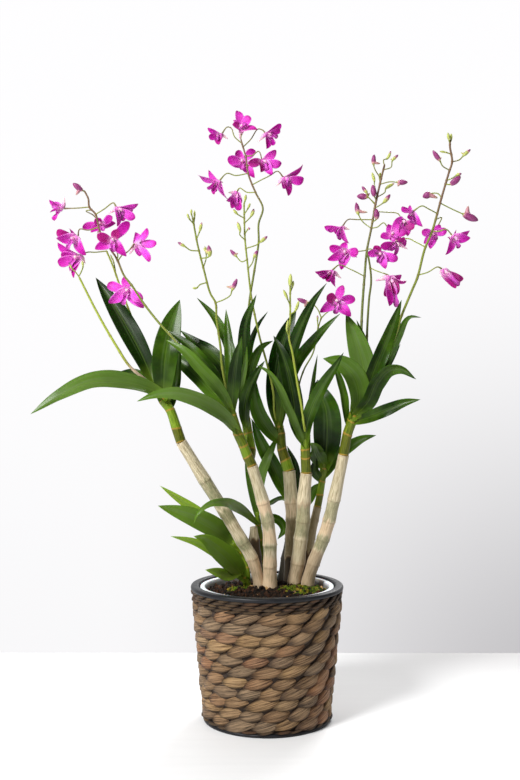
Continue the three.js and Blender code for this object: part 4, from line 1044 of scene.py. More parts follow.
# How old each segment of a neck is, from its foot up: fresh is 0, and 1 is olive brown.
AGES = {"a": (0.9, 0, 0.1, 0.5), "b": (0.9, 0, 0.5), "c": (0.1, 1, 0.8), "d": (0.8, 0.7, 0.2),
        "e": (0.9, 0.6, 0.2), "f": (0.8, 0.1, 0.5)}
FORK = [(-15.6, 244, -12, 3.4), (-15.2, 253.1, -4, 4.6), (-18.1, 269.2, 4, 4.6), (-19.9, 282.5, 5, 4.2),
        (-21.8, 297.7, 4, 2.6)]
SHOOTS = {
    "left": [
        [(-19, 124.8, 10, 3.4), (-22.8, 134.3, 6, 3.2), (-29.4, 142.9, 0, 2.4)],
        [(-18, 124.8, 12, 2.8), (-19.5, 142.9, 17, 2.4), (-25.6, 156.2, 18, 2.2), (-32.3, 165.7, 17, 1.8)],
    ],
    "back": [
        [(-5.7, 131.5, 50, 3), (-5.7, 149.5, 48, 3.4), (-6.6, 168.5, 45, 3.4), (-8.5, 183.7, 42, 3),
         (-9.5, 195.1, 40, 2)],
    ],
}
# What a leaf grows on, its width, its roll in degrees or that at foot and tip, and its midrib.
LEAVES = [
    ("a", 20, 38, [(-96, 300, -8), (-104, 308, -15), (-129, 317, -28), (-165, 319, -42), (-197, 305, -49),
     (-225, 288, -52)]),
    ("a", 12, 30, [(-99, 303, -5), (-123, 325, 17), (-150, 324, 31)]),
    ("a", 20, 10, [(-107, 314, -8), (-120, 346, -1), (-141, 384, 9), (-163, 418, 19)]),
    ("a", 24, 0, [(-98, 302, -9), (-97, 340, -18), (-92, 368, -14), (-83, 397, -7)]),
    ("a", 9, -20, [(-91, 290, -6), (-86, 316, 2), (-84, 344, 5), (-83, 360, 6)]),
    ("b", 15, 25, [(-28, 270, -17), (-40, 285, -39), (-64, 300, -60), (-87, 307, -70), (-106, 306, -73),
     (-124, 300, -73)]),
    ("b", 12, 20, [(-33, 290, -20), (-40, 303, -34), (-51, 318, -44), (-64, 332, -47), (-79, 348, -44),
     (-97, 359, -37)]),
    ("b", 10, 20, [(-36, 302, -21), (-51, 326, -26), (-64, 342, -28), (-78, 356, -23), (-96, 368, -16)]),
    ("b", 14, 20, [(-36, 302, -21), (-41, 330, -7), (-52, 345, 4), (-68, 356, 15), (-83, 368, 22)]),
    ("b", 9, -10, [(-35, 297, -20), (-43, 324, 0), (-59, 343, 14), (-75, 358, 24)]),
    ("b", 17, 10, [(-34, 291, -20), (-51, 309, -3), (-66, 325, 11), (-83, 339, 21), (-99, 349, 31)]),
    ("b", 11, 20, [(-35, 297, -20), (-33, 330, 0), (-39, 359, 14), (-50, 380, 24), (-67, 399, 31)]),
    ("b", 10, -10, [(-35, 297, -21), (-35, 335, -11), (-37, 363, -4), (-39, 388, 3)]),
    ("b", 13, 20, [(-33, 290, -20), (-32, 321, -37), (-28, 347, -46), (-24, 362, -49)]),
    ("b", 13, 0, [(-22, 284, 5), (-23, 316, -4), (-22, 349, -7), (-20, 376, -10), (-10, 402, -12)]),
    ("b", 7, 20, [(-20, 278, 5), (-25, 313, -17), (-21, 335, -24), (-19, 353, -26)]),
    ("b", 10, 50, [(-21, 287, 5), (-20, 330, 20), (-16, 356, 29), (-9, 373, 35), (1, 386, 39)]),
    ("b", 12, 35, [(-21, 287, 5), (-18, 321, -4), (-13, 340, -7), (-6, 352, -4), (6, 358, 3)]),
    ("b", 12, -20, [(-19, 271, 4), (-21, 290, -10), (-18, 309, -20), (-11, 325, -23), (-2, 339, -23)]),
    ("c", 15, 10, [(13, 260, 34), (3, 271, 28), (-8, 288, 20), (-12, 305, 16), (-11, 322, 14)]),
    ("c", 20, 0, [(11, 275, 33), (8, 302, 24), (10, 330, 18), (15, 357, 14), (28, 388, 18)]),
    ("c", 13, -15, [(11, 275, 33), (14, 302, 18), (19, 332, 1), (30, 366, -10), (44, 395, -16),
     (57, 413, -20)]),
    ("c", 12, -15, [(12, 273, 34), (18, 309, 20), (28, 336, 10), (42, 355, 0), (56, 371, -7),
     (70, 384, -10)]),
    ("d", 13, -20, [(36, 256, 3), (38, 278, -12), (45, 299, -26), (54, 316, -36), (65, 333, -43),
     (73, 347, -46)]),
    ("d", 17, 15, [(35, 256, 3), (28, 278, -2), (25, 302, -9), (20, 327, -12), (14, 346, -9),
     (6, 363, -2)]),
    ("d", 9, 30, [(35, 255, 2), (26, 279, -15), (18, 298, -24), (10, 315, -29), (1, 328, -29),
     (-11, 335, -25)]),
    ("d", 9, 55, [(37, 258, 3), (39, 283, 12), (41, 306, 15), (44, 325, 18), (48, 345, 22)]),
    ("e", 23, 0, [(83, 287, -12), (90, 309, -5), (92, 330, 0), (86, 354, 3), (75, 384, 8)]),
    ("e", 21, 10, [(84, 285, -13), (88, 303, -20), (84, 322, -24), (71, 336, -26), (53, 341, -26)]),
    ("e", 15, 10, [(83, 287, -12), (94, 309, -12), (104, 335, -11), (117, 366, -8), (128, 397, -6)]),
    ("e", 11, 0, [(84, 289, -11), (98, 311, 11), (113, 338, 25), (125, 363, 30), (135, 380, 32),
     (147, 380, 28)]),
    ("e", 9, 40, [(84, 292, -11), (105, 321, 18), (118, 340, 28), (127, 355, 35)]),
    ("e", 16, (0, 50), [(83, 284, -12), (96, 300, -32), (104, 318, -43), (115, 330, -49), (128, 331, -56),
     (142, 321, -60)]),
    ("e", 12, -20, [(81, 279, -11), (103, 287, -30), (119, 294, -38), (132, 299, -43), (146, 302, -47)]),
    ("e", 10, 10, [(84, 290, -11), (96, 328, 14), (93, 354, 21), (85, 378, 21)]),
    ("e", 9, 30, [(77, 272, -9), (74, 292, -4), (72, 309, 0), (66, 328, 3), (60, 341, 6)]),
    ("f", 16, 0, [(53, 238, 29), (48, 249, 14), (45, 257, 0), (41, 261, -7)]),
    ("f", 27, 0, [(54, 239, 28), (57, 265, 11), (56, 292, 4), (50, 309, 8), (48, 321, 18)]),
    ("f", 12, -20, [(52, 225, 32), (64, 243, 29), (76, 255, 25), (90, 264, 22), (104, 268, 18)]),
    ("f", 9, 0, [(51, 224, 32), (45, 235, 22), (47, 247, 15)]),
    ("f", 9, 0, [(51, 222, 32), (44, 215, 35), (39, 200, 39)]),
    ("h", 15, 10, [(26, 201, 50), (15, 218, 49), (6, 238, 44), (-4, 256, 38), (-15, 284, 30)]),
    ("h", 10, 70, [(26, 201, 50), (14, 207, 53), (3, 202, 60), (-10, 194, 64)]),
    ("h", 9, -30, [(27, 205, 49), (29, 221, 47), (27, 240, 44), (19, 258, 44)]),
    ("left", 9, 20, [(-23, 132, 6), (-33, 142, -8), (-50, 156, -18), (-68, 166, -25), (-92, 172, -28)]),
    ("left", 20, 15, [(-22, 132, 7), (-33, 147, -12), (-47, 160, -29), (-59, 169, -42), (-70, 172, -49)]),
    ("left", 20, 15, [(-26, 156, 18), (-34, 168, 16), (-50, 180, 1), (-73, 191, -13), (-104, 201, -23)]),
    ("left", 10, 20, [(-29, 162, 17), (-49, 180, 14), (-66, 195, 10), (-85, 208, 8), (-102, 220, 8)]),
    ("left", 11, 20, [(-26, 137, 3), (-37, 135, -12), (-49, 138, -26), (-59, 140, -33)]),
    ("back", 9, 0, [(-10, 188, 41), (-12, 207, 36), (-16, 226, 32), (-21, 247, 29)]),
    ("back", 10, 20, [(-9, 182, 42), (-19, 193, 22), (-29, 200, -12), (-41, 204, -50), (-55, 202, -63),
     (-66, 193, -67), (-70, 183, -67)]),
    ("back", 9, 10, [(-9, 184, 42), (3, 190, 42), (12, 187, 45), (16, 178, 49), (10, 169, 49)]),
    ("back", 10, -10, [(-10, 191, 41), (-6, 227, 36), (1, 247, 36), (11, 269, 43)]),
]
# How light some of them are, partly as their own green and partly as painted shade: the darkest, below 0,
# stand for leaves in shadow, and the yellow-green of young shoots is from 1 to 2.
LEAF_TONE_AND_SHADE = {0: 0.95, 2: -0.35, 3: 0.3, 5: 1.1, 20: -0.3, 21: 0.1, 22: 0.3, 23: 0.1, 24: 0, 25: 0.9, 27: 1.0,
          28: 0.8, 29: 0.1, 30: 0.3, 32: 0.3, 33: 0.2, 36: 0.6, 37: 0.1, 44: 1.6, 45: 1.4, 46: 1.3, 47: 1.9,
          48: 1.7, 49: 0.6, 50: 1.2, 51: 0.5}
print(len(NECKS), "necks,", len(LEAVES), "leaves")

# %% [markdown]
# A leaf is widest before its middle and ends in a short point. Two things make a blade into a leaf: the
# gutter along the midrib with a keel under it, and a slight wave of the edges that is never the same twice.
# At its foot it folds hard round the neck.

# %% Growing a leaf
LEAF_FOLD = 0.3  # rise of the edges over the midrib, as a share of half the width
LEAF_THICK = 0.9  # mm along the midrib
LEAF_STEP, LEAF_COLUMNS = 3.2, 8  # mm along a leaf, and faces across it
WIDEST, CLASP = 0.45, 0.14  # shares of the length: where a leaf is widest, and how far it clasps the neck


def rolled(ahead, roll):
    """The way a blade looks when it is turned by roll from facing the front."""
    front = (FRONT - ahead * FRONT.dot(ahead)).normalized()
    return front * math.cos(roll) + ahead.cross(front) * math.sin(roll)


def leaf(mould, ways, order, width, roll, places):
    points = [placed(place) for place in places]
    points[0] = min((way.nearest(points[0]) for way in ways), key=lambda spot: (spot - points[0]).length)
    way = Way(points)
    luck = random.Random(order)
    tone, phase, ripple = luck.random(), luck.uniform(0, 6), luck.uniform(0.3, 0.8)
    tone = LEAF_TONE_AND_SHADE.get(order, tone)
    roll_foot, roll_tip = roll if isinstance(roll, tuple) else (roll, roll)
    stations = []
    for middle, ahead, share in way.evenly(int(way.length / MM / LEAF_STEP)):
        turn = math.radians(roll_foot + (roll_tip - roll_foot) * share)
        stations.append((middle, ahead, rolled(ahead, turn), share))

    def form(share, u):
        foot = 0.42 + 0.58 * math.sin(min(1, share / WIDEST) * math.pi / 2)
        half = width / 2 * foot * (1 - max(0, (share - WIDEST) / (1 - WIDEST)) ** 2.3)
        clasp = max(0, 1 - share / CLASP) ** 2
        fold = LEAF_FOLD * (0.5 + 0.5 * abs(u)) + 1.3 * clasp
        lift = fold * half * abs(u)
        lift -= 0.35 * math.exp(-(u / 0.12) ** 2) * min(1, half / 3)
        waves = ripple * math.sin(share * 11 + phase) + 0.5 * ripple * math.sin(share * 23 + phase * u)
        lift += waves * u * u * math.sin(math.pi * share) * min(1, half / 6)
        thick = LEAF_THICK * (1 - 0.55 * abs(u)) * (1 - 0.4 * share)
        return u * half * (1 - 0.35 * clasp) * MM, lift * MM, thick * MM

    def tint(share, u, upper):
        return tone, max(0.0, 1 - share / 0.2), max(0, upper)

    blade(mould, stations, LEAF_COLUMNS, form, tint)


NECK_STEP, NECK_SIDES = 1.2, 18
SHEATH_EDGE, SLANT = 0.3, 0.9  # mm that a sheath's edge stands out, and how far it runs up and down


def green_stem(mould, way, radii, ages):
    """A neck or a shoot's stem, with the edges of its sheaths as low steps."""
    nodes = [way.length_at(k / way.spans) / MM for k in range(way.spans + 1)]
    stops = list(zip(nodes, radii))

    def radius(length, share, turn):
        length /= MM
        reach = flowing(stops, length)
        for node in nodes[1:-1]:
            past = length - node - SLANT * math.cos(turn + node)
            reach += SHEATH_EDGE * math.exp(-(past / 0.6) ** 2)
        return reach * MM

    def tint(length, share, turn):
        past = [length / MM - node - SLANT * math.cos(turn + node) for node in nodes]
        segment = sum(1 for reach in past if reach > 0)
        old = ages[min(max(1, segment), len(ages)) - 1]
        return old, 1.0, max(math.exp(-(reach / 1.1) ** 2) for reach in past[:-1])

    tube(mould, way, max(8, int(way.length / MM / NECK_STEP)), NECK_SIDES, radius, tint)


print("a leaf has", 2 * LEAF_COLUMNS, "points round each of its rings")

# %% [markdown]
# The upper side of these leaves is a deep, waxy green with fine parallel veins and a paler midrib line; the
# foot and the underside are a lighter yellow-green. The wax is what makes them shine, so the roughness is
# low on top and higher below. A pale painted sheen on the lighter leaves fades out towards the tip, and soft
# painted highlights lie on the darkest and the lightest.

# %% Waxy leaf
waxy_leaf = Finish("waxy_leaf", roughness=0.34, specular_ior_level=0.12, subsurface_weight=0.1,
                   subsurface_radius=(0.4, 1.0, 0.1), subsurface_scale=0.002)
blend = waxy_leaf.blend
across, _, along = waxy_leaf.parts(waxy_leaf.carried("skin"))
tone, foot, upper = waxy_leaf.parts(waxy_leaf.carried("tint"))
veins = (across * 55).sine() * 0.5 + 0.5
cloud = waxy_leaf.noise(waxy_leaf.place(), 38, 3)
streak = waxy_leaf.noise(waxy_leaf.stretched(waxy_leaf.carried("skin"), 9, 1, 1.2), 2.0, 3)
# A leaf's lightness comes from noise and its tone, and so holds the painted shade of the darkest leaves.
ripe = (cloud * 0.9 + tone * 0.5).between(0.37, 1.0)
top = blend(ripe, (0.003, 0.013, 0.0003), (0.062, 0.13, 0.006))
top = blend(tone.between(1.0, 2.0), top, (0.21, 0.31, 0.03))
# Painted sheen: a pale grey-green film on the lighter leaves, not on young shoots, fading out towards the
# tip.
painted_pale_sheen = (tone + streak - 0.5).between(0.5, 1.4) * (1 - tone.between(1.1, 1.4))
tip_fade = 1 - along.between(0.7, 1.0)
top = blend(painted_pale_sheen * tip_fade * 0.5, top, (0.16, 0.22, 0.08))
# Painted highlights: broad soft patches of grey-green, strongest on the darkest and the lightest leaves.
sheen = waxy_leaf.noise(waxy_leaf.stretched(waxy_leaf.carried("skin"), 1.5, 1, 0.5), 1.3, 2)
top = blend(sheen.between(0.54, 0.74) * (tone.size() * 0.25 + 0.24).under(0.42), top, (0.13, 0.19, 0.08))
top = blend((veins * 0.06 + streak * 0.12) * (ripe * 0.7 + 0.3), top, (0.1, 0.19, 0.02))
under = blend(cloud, (0.06, 0.12, 0.02), (0.11, 0.19, 0.045))
coloured = blend(upper, under, top)
rib = 1 - across.size().between(0.0, 0.07)
coloured = blend(rib * 0.35, coloured, (0.13, 0.22, 0.035))
coloured = blend(foot * 0.6, coloured, (0.16, 0.25, 0.02))
waxy_leaf.drive("Base Color", coloured)
waxy_leaf.drive("Roughness", 0.4 - upper * 0.2 + streak * 0.1)
waxy_leaf.bump((veins * 0.5 + streak * 0.3) * tip_fade, 0.00007, 0.5)

green_neck = Finish("green_neck", roughness=0.4, specular_ior_level=0.25)
blend = green_neck.blend
skin = green_neck.carried("skin")
old, _, ring = green_neck.parts(green_neck.carried("tint"))
streak = green_neck.noise(green_neck.stretched(skin, 3, 3, 0.08), 1.5, 4)
fresh = blend(streak.between(0.2, 0.8), (0.08, 0.15, 0.002), (0.2, 0.3, 0.015))
aged = blend(streak.between(0.25, 0.75), (0.034, 0.04, 0.001), (0.12, 0.125, 0.005))
coloured = blend(old, fresh, aged)
worn_ring = (ring + streak * 0.6 - 0.35).between(0.3, 0.8)
coloured = blend(worn_ring * 0.85, coloured, (0.36, 0.21, 0.03))
coloured = blend(ring.between(0.85, 1.0) * 0.9, coloured, (0.04, 0.016, 0.006))
green_neck.drive("Base Color", coloured)
green_neck.bump(streak, 0.0005, 0.6)
print("two green finishes")

# %% Leafy tops and shoots
def leafy(name, node, ways_and_radii):
    """Its stems as one piece, and its leaves as another, which takes the CAD node's place."""
    stems = Mould()
    for way, radii in ways_and_radii:
        green_stem(stems, way, radii, AGES.get(node[-1], (0.6, 0.3)))
    necks = stems.made(name + "_stem", green_neck)
    leaves = Mould()
    ways = [way for way, _ in ways_and_radii]
    for order, (carrier, *sizes) in enumerate(LEAVES):
        if carrier == name.split("_")[-1]:
            leaf(leaves, ways, order, *sizes)
    return standing_for(leaves.made(name + "_leaves", waxy_leaf), "leaf", node)


def stem_of(places, foot=()):
    return [*foot, *(place[3] for place in places)]


for name, places in NECKS.items():
    stems = [(Way([placed(place) for place in places]), stem_of(places))]
    if name == "b":
        stems.append((Way([placed(place) for place in FORK]), stem_of(FORK)))
    leafy("top_" + name, "leafy_top_" + name, stems)
for name, shoots in SHOOTS.items():
    leafy("shoot_" + name, name + "_shoot", [(rooted(p), stem_of(p, [p[0][3]])) for p in shoots])

# %% [markdown]
# ## Flower spikes
#
# A spike is a thin stem that rises from a leafy top and bends a little at every joint. Most are green, and
# the fullest turn a brownish purple among their flowers. Buds sit on short stalks, the smallest at the top.
# A bud of this orchid isn't round: it has a chin, because the foot of its column bulges out below. The small
# ones are yellow-green, and they turn purple from the tip as they fill.

# %% Where stems and buds go
# A stem's radius about halfway up, and its way from the foot.
STEMS = [
    (1.2, [(-108, 313, -9), (-115, 320, -16), (-131, 334, -24), (-144, 354, -26), (-158, 378, -26),
     (-168, 397, -28), (-179, 419, -34)]),
    (1.1, [(-105, 311, -6), (-110, 338, 7), (-122, 362, 13), (-129, 381, 17), (-134, 394, 17),
     (-141, 413, 16), (-147, 430, 14), (-153, 444, 9)]),
    (1.05, [(-34, 294, -21), (-41, 305, -34), (-51, 320, -41), (-64, 334, -43), (-79, 348, -41),
     (-90, 361, -37), (-102, 374, -34), (-117, 393, -30), (-129, 411, -31), (-136, 420, -31),
     (-143, 436, -30), (-149, 445, -29), (-159, 462, -28), (-163, 478, -29), (-169, 485, -30),
     (-170, 493, -31), (-174, 501, -32)]),
    (1.1, [(-20, 279, 5), (-19, 302, 7), (-18, 340, 9), (-18, 368, 17), (-17, 393, 26), (-12, 425, 37),
     (-8, 452, 44), (-8, 469, 48), (-4, 484, 49), (-11, 499, 50), (-18, 517, 51), (-20, 532, 54),
     (-24, 546, 57), (-25, 550, 58)]),
    (1.0, [(11, 273, 34), (7, 290, 26), (6, 309, 15), (1, 332, 11), (-7, 361, 12), (-11, 379, 13),
     (-15, 400, 13), (-19, 435, 16), (-21, 455, 18), (-22, 490, 21)]),
    (1.0, [(-36, 297, -20), (-39, 313, -25), (-43, 335, -29), (-44, 349, -30), (-48, 379, -34),
     (-49, 394, -36), (-54, 403, -36), (-60, 425, -40), (-66, 449, -45), (-71, 476, -52)]),
    (1.0, [(37, 266, 0), (35, 279, -13), (33, 294, -18), (29, 316, -21), (24, 347, -24), (21, 360, -26),
     (22, 379, -30), (22, 399, -34), (22, 414, -37)]),
    (0.8, [(36, 267, 2), (30, 292, 10), (30, 313, 16), (35, 330, 20), (44, 347, 23), (48, 368, 18),
     (52, 381, 13)]),
    (1.2, [(84, 294, -11), (89, 309, 8), (93, 330, 22), (90, 354, 29), (90, 378, 34), (93, 423, 42),
     (95, 444, 46), (99, 464, 49), (103, 487, 53), (109, 514, 57), (112, 526, 60)]),
    (1.15, [(83, 291, -11), (90, 303, 10), (97, 325, 22), (95, 354, 28), (97, 397, 33), (99, 414, 33),
     (98, 428, 33), (95, 444, 33)]),
    (1.15, [(85, 296, -12), (100, 313, 3), (112, 340, 7), (124, 368, 4), (127, 379, 1), (138, 406, -8),
     (143, 418, -14), (150, 445, -18), (157, 462, -21), (166, 494, -26), (173, 518, -29), (176, 528, -31),
     (174, 542, -33), (174, 549, -34)]),
]
# A bud's spike, its radius, how ripe it is, its way from the stem to its foot and its tip, and for some the
# end of a spur.
BUDS = [
    (1, 1.1, 0.5, [(-179, 419, -34), (-182, 423, -35), (-186, 427, -36), (-188, 432, -36)]),
    (1, 1.1, 0.2, [(-179, 419, -34), (-176, 425, -35), (-175, 429, -36), (-176, 434, -36)]),
    (2, 0.9, 0.1, [(-143, 420, 15), (-146, 433, 19), (-149, 440, 20)]),
    (3, 2.7, 0.95, [(-173, 500, -32), (-175.8, 501, -33), (-184.8, 507.7, -36)], (-181.9, 496.3)),
    (5, 1.4, 0.15, [(-22, 486, 21), (-21, 491, 21), (-20, 497, 22)]),
    (5, 1.2, 0.1, [(-21, 478, 20), (-18, 484, 18), (-16, 489, 18)]),
    (5, 1.4, 0.2, [(-22, 474, 19), (-28, 478.2, 16), (-32.3, 483, 14)]),
    (5, 1.7, 0.35, [(-21, 469, 19), (-15.2, 476.3, 22), (-12.3, 483.5, 23)]),
    (5, 1.7, 0.2, [(-21, 454, 17), (-26, 459, 14), (-25.6, 462.1, 13), (-28.2, 471.1, 13)]),
    (5, 1.3, 0.6, [(-21, 459, 18), (-18, 464, 13), (-16, 465, 12)]),
    (5, 1.8, 0.4, [(-19, 446, 17), (-10, 449, 12), (-6.6, 451.6, 11), (0.5, 457.3, 11)]),
    (5, 1.9, 0.75, [(-19, 435, 16), (-24, 433, 18), (-29.4, 438.3, 21), (-35.1, 444.5, 22)],
     (-27.5, 441.2)),
    (5, 1.8, 0.6, [(-16, 427, 13), (-14, 432, 14), (-12.4, 437, 14), (-9, 444, 15)]),
    (6, 1.1, 0.1, [(-71, 474, -52), (-72, 479, -53), (-72, 483, -54)]),
    (6, 1.1, 0.1, [(-70, 469, -50), (-74, 474, -54), (-76, 479, -56)]),
    (6, 1, 0.1, [(-70, 469, -50), (-69, 475, -49), (-69, 482, -50)]),
    (6, 1.5, 0.25, [(-67, 454, -46), (-64.1, 462.1, -51), (-62, 470.6, -54)]),
    (6, 1.5, 0.45, [(-66, 443, -44), (-73, 444, -46), (-77.9, 447.4, -48), (-85, 451.6, -50)]),
    (6, 2.3, 0.5, [(-63, 436, -42), (-55.1, 438.3, -48), (-55.6, 448.8, -51)], (-60.8, 445.9)),
    (6, 1.2, 0.1, [(-61, 427, -41), (-58, 436, -39), (-58, 442, -38), (-59, 448, -39)]),
    (6, 1.1, 0, [(-58, 413, -38), (-64, 411, -40), (-67, 408, -40), (-71, 408, -41)]),
    (6, 2.1, 0.7, [(-49, 394, -36), (-41, 397, -39), (-35, 401, -42), (-33.2, 406, -44), (-28.5, 417, -48)],
     (-38.9, 409.4)),
    (7, 1.9, 0.1, [(22, 410, -36), (21.8, 410.3, -37), (22.5, 421.7, -38)]),
    (7, 1.3, 0.1, [(22, 403, -35), (24, 409, -34), (25, 415, -34)]),
    (7, 1.4, 0.1, [(22, 391, -32), (19.3, 398, -36), (15.5, 406.5, -38)]),
    (7, 1.5, 0.1, [(22, 383, -31), (26.6, 386.1, -35), (30.4, 396.1, -37)]),
    (7, 1.2, 0, [(22, 362, -26), (19, 367, -29), (20, 378, -34)]),
    (8, 2.3, 0.8, [(51, 380, 14), (48, 388, 13), (43, 393, 12), (39.4, 393.7, 12), (28.5, 398, 12)],
     (35.6, 389.9)),
    (8, 1, 0.4, [(49, 370, 18), (48, 378, 16), (48, 382, 15)]),
    (9, 1.4, 0.35, [(112, 524, 59), (111, 530, 62), (114.5, 531, 63), (117.8, 538.6, 64)], (113, 531)),
    (9, 1.6, 0.5, [(112, 520, 58), (118, 523, 56), (119.2, 529.1, 56), (124.9, 534.8, 56)],
     (117.1, 530.5)),
    (9, 2.8, 0.85, [(107, 507, 56), (117, 509, 52), (124, 508.6, 50), (133.9, 508.6, 48)], (124.4, 504.4)),
    (9, 1.7, 0.25, [(104, 495, 54), (112, 499, 58), (113, 502.5, 60), (121.1, 507.7, 62)]),
    (9, 2.2, 0.55, [(103, 484, 52), (110.7, 489.2, 48), (117.3, 497.2, 48)]),
    (9, 1.4, 0.15, [(107, 508, 56), (107, 513, 60), (108, 518, 62)]),
    (9, 1.6, 0.1, [(104, 496, 54), (102, 507, 61), (102.1, 509.6, 63), (99.8, 518.1, 65)]),
    (9, 2.3, 0.8, [(108, 512, 57), (103, 520, 53), (101.4, 525.3, 53), (101.8, 535.2, 53)],
     (107.8, 526.2)),
    (9, 2.8, 1, [(104, 492, 53), (102.1, 495.3, 50), (100.5, 506.3, 51)]),
    (9, 3.3, 0.9, [(103, 487, 53), (95.5, 494.4, 60), (85.3, 495.3, 62)], (97.8, 498.2)),
    (9, 1.9, 0.6, [(103, 488, 53), (96, 495, 51), (95, 498.2, 51), (90.2, 504.8, 51)]),
    (9, 2.5, 0.75, [(99, 465, 49), (91, 471, 54), (86.9, 478.2, 56), (84.8, 489.6, 60)], (95.9, 480.1)),
    (9, 2.8, 0.85, [(101, 471, 50), (103.8, 473.5, 45), (104, 483.5, 45)]),
    (11, 1.4, 0.1, [(174, 545, -33), (173, 549, -35), (172, 556, -36)]),
    (11, 1.3, 0.1, [(174, 545, -33), (175, 549, -32), (175, 555, -32)]),
    (11, 1, 0, [(175, 535, -32), (170, 537, -31), (164, 538, -31)]),
    (11, 2.2, 0.85, [(173, 520, -30), (167, 524, -33), (164.3, 529.1, -35), (157.5, 539, -37)],
     (166.2, 531.9)),
    (11, 1.7, 0.45, [(176, 528, -31), (183, 530, -29), (186.7, 533.8, -29), (193.6, 540, -28)],
     (184.3, 536.8)),
    (11, 3, 0.95, [(170, 507, -28), (174.3, 506.7, -33), (184.3, 514.3, -35)]),
    (11, 3.2, 0.85, [(166, 494, -26), (162, 498, -23), (155.8, 497.7, -21), (147.9, 494.4, -20)],
     (162.4, 493.4)),
    (11, 3.6, 0.95, [(164, 489, -25), (176, 483, -22), (186.7, 478.2, -20), (200.9, 472.1, -18)],
     (191.4, 486.3)),
    (11, 1.7, 0.4, [(172, 510, -28), (177, 513, -31), (180, 515, -32), (185, 517, -34)]),
]
print(len(STEMS), "spikes,", len(BUDS), "buds")

# %% Stems and buds
STALK = 0.58  # mm, radius of a bud's or bloom's stalk
JOINT_SWELL = 0.28  # mm
STEM_STEP, STEM_SIDES = 1.5, 10  # mm from ring to ring, and points round a ring
BUD_STEP, BUD_SIDES = 1.1, 12
SPUR_STEPS, SPUR_SIDES = 8, 10
BARE_JOINTS = (0.2, 0.38, 0.52)  # joints below the buds, as shares of a stem's length
# Where a stem starts to turn purple and where it is all purple, as shares of its length.
RIPENING = {3: (0.58, 0.76), 4: (0.66, 0.9), 9: (0.58, 0.9), 11: (0.66, 0.8)}
# How fresh and light the green of each stem is.
FRESH = {1: 1.0, 2: 1.0, 3: 0.35, 4: 0.25, 5: 0.6, 6: 0.45, 7: 0.9, 8: 0.3, 9: 0.15, 10: 0.1, 11: 0.45}
PAPERY = {1: 0.36}  # how far up a dry sheath reaches, thinning out, as a share of a stem's length
STEM_WAYS = [Way([placed(place) for place in places]) for _, places in STEMS]


def from_stem(number, places):
    """A stalk's line, with its foot on the middle of its stem, and how far up the stem that is."""
    points = [placed(place) for place in places]
    stem = STEM_WAYS[number - 1]
    points[0] = stem.nearest(points[0])
    height = stem.fine.index(points[0]) / (len(stem.fine) - 1)
    return points, height


def ripened(number, share):
    """How purple a spike's stem is at a share of its length. Most are green to their tips."""
    start, full = RIPENING.get(number, (1.2, 1.4))
    return min(1.0, max(0.0, (share - start) / (full - start)))


def stem(mould, number, joints):
    girth, places = STEMS[number - 1]
    way = STEM_WAYS[number - 1]
    at_joints = [way.length_at(share) / MM for share in joints]
    at_joints += [way.length / MM * share for share in BARE_JOINTS]

    def radius(length, share, turn):
        reach = girth * (1.22 - 0.42 * share) * math.sqrt(max(0.05, 1 - max(0, share * 60 - 59) ** 2))
        near = min(abs(length / MM - joint) for joint in at_joints)
        return (reach + JOINT_SWELL * math.exp(-(near / 0.9) ** 2)) * MM

    def tint(length, share, turn):
        near = min(abs(length / MM - joint) for joint in at_joints)
        mark = max(math.exp(-(near / 0.8) ** 2), (PAPERY.get(number, 0) - share) * 16)
        return ripened(number, share), 0.4 * FRESH[number], mark

    tube(mould, way, int(way.length / MM / STEM_STEP), STEM_SIDES, radius, tint)


def bud(mould, number, girth, ripeness, places, spur=None):
    points, height = from_stem(number, places)
    way = Way(points)
    foot = way.length_at((way.spans - 1) / way.spans)

    def radius(length, share, turn):
        if length < foot:
            return STALK * MM * (1 + 0.5 * max(0, (length - foot) / (2 * MM) + 1))
        t = (length - foot) / (way.length - foot)
        swell = math.sin(math.pi * min(1, 0.12 + 0.88 * t)) ** 0.62
        groove = 0.05 * math.cos(3 * turn) * math.sin(math.pi * t)
        return max(0.05, girth * swell * (1 + groove)) * MM

    def tint(length, share, turn):
        t = max(0, (length - foot) / (way.length - foot))
        if length < foot:
            return 0.5 * ripened(number, height) * (1 - 0.4 * length / foot), 0.25, 0.0
        ripe = min(1, max(0, (t - 1 + 1.25 * ripeness) * 2.5))
        return ripe, 1.0, 0.5 + 0.5 * math.cos(3 * turn)

    def spur_radius(length, share, turn):
        return girth * (0.82 - 0.5 * share) * math.sqrt(max(0.01, 1 - share**5)) * MM

    def spur_tint(length, share, turn):
        return max(0, ripeness - 0.2) * (1 - 0.6 * share), 1.0, 0.0

    steps = 12 + int(way.length / MM / BUD_STEP)
    tube(mould, way, steps, BUD_SIDES, radius, tint, closed_tip=True)
    if spur:
        root = points[-2].lerp(points[-1], 0.22)
        end = placed((*spur, root.y / MM))
        spur_way = Way([points[-2].lerp(points[-1], 0.3), root.lerp(end, 0.4), end])
        tube(mould, spur_way, SPUR_STEPS, SPUR_SIDES, spur_radius, spur_tint, closed_tip=True)
    return height


print(sum(1 for b in BUDS if len(b) > 4), "buds have a spur")

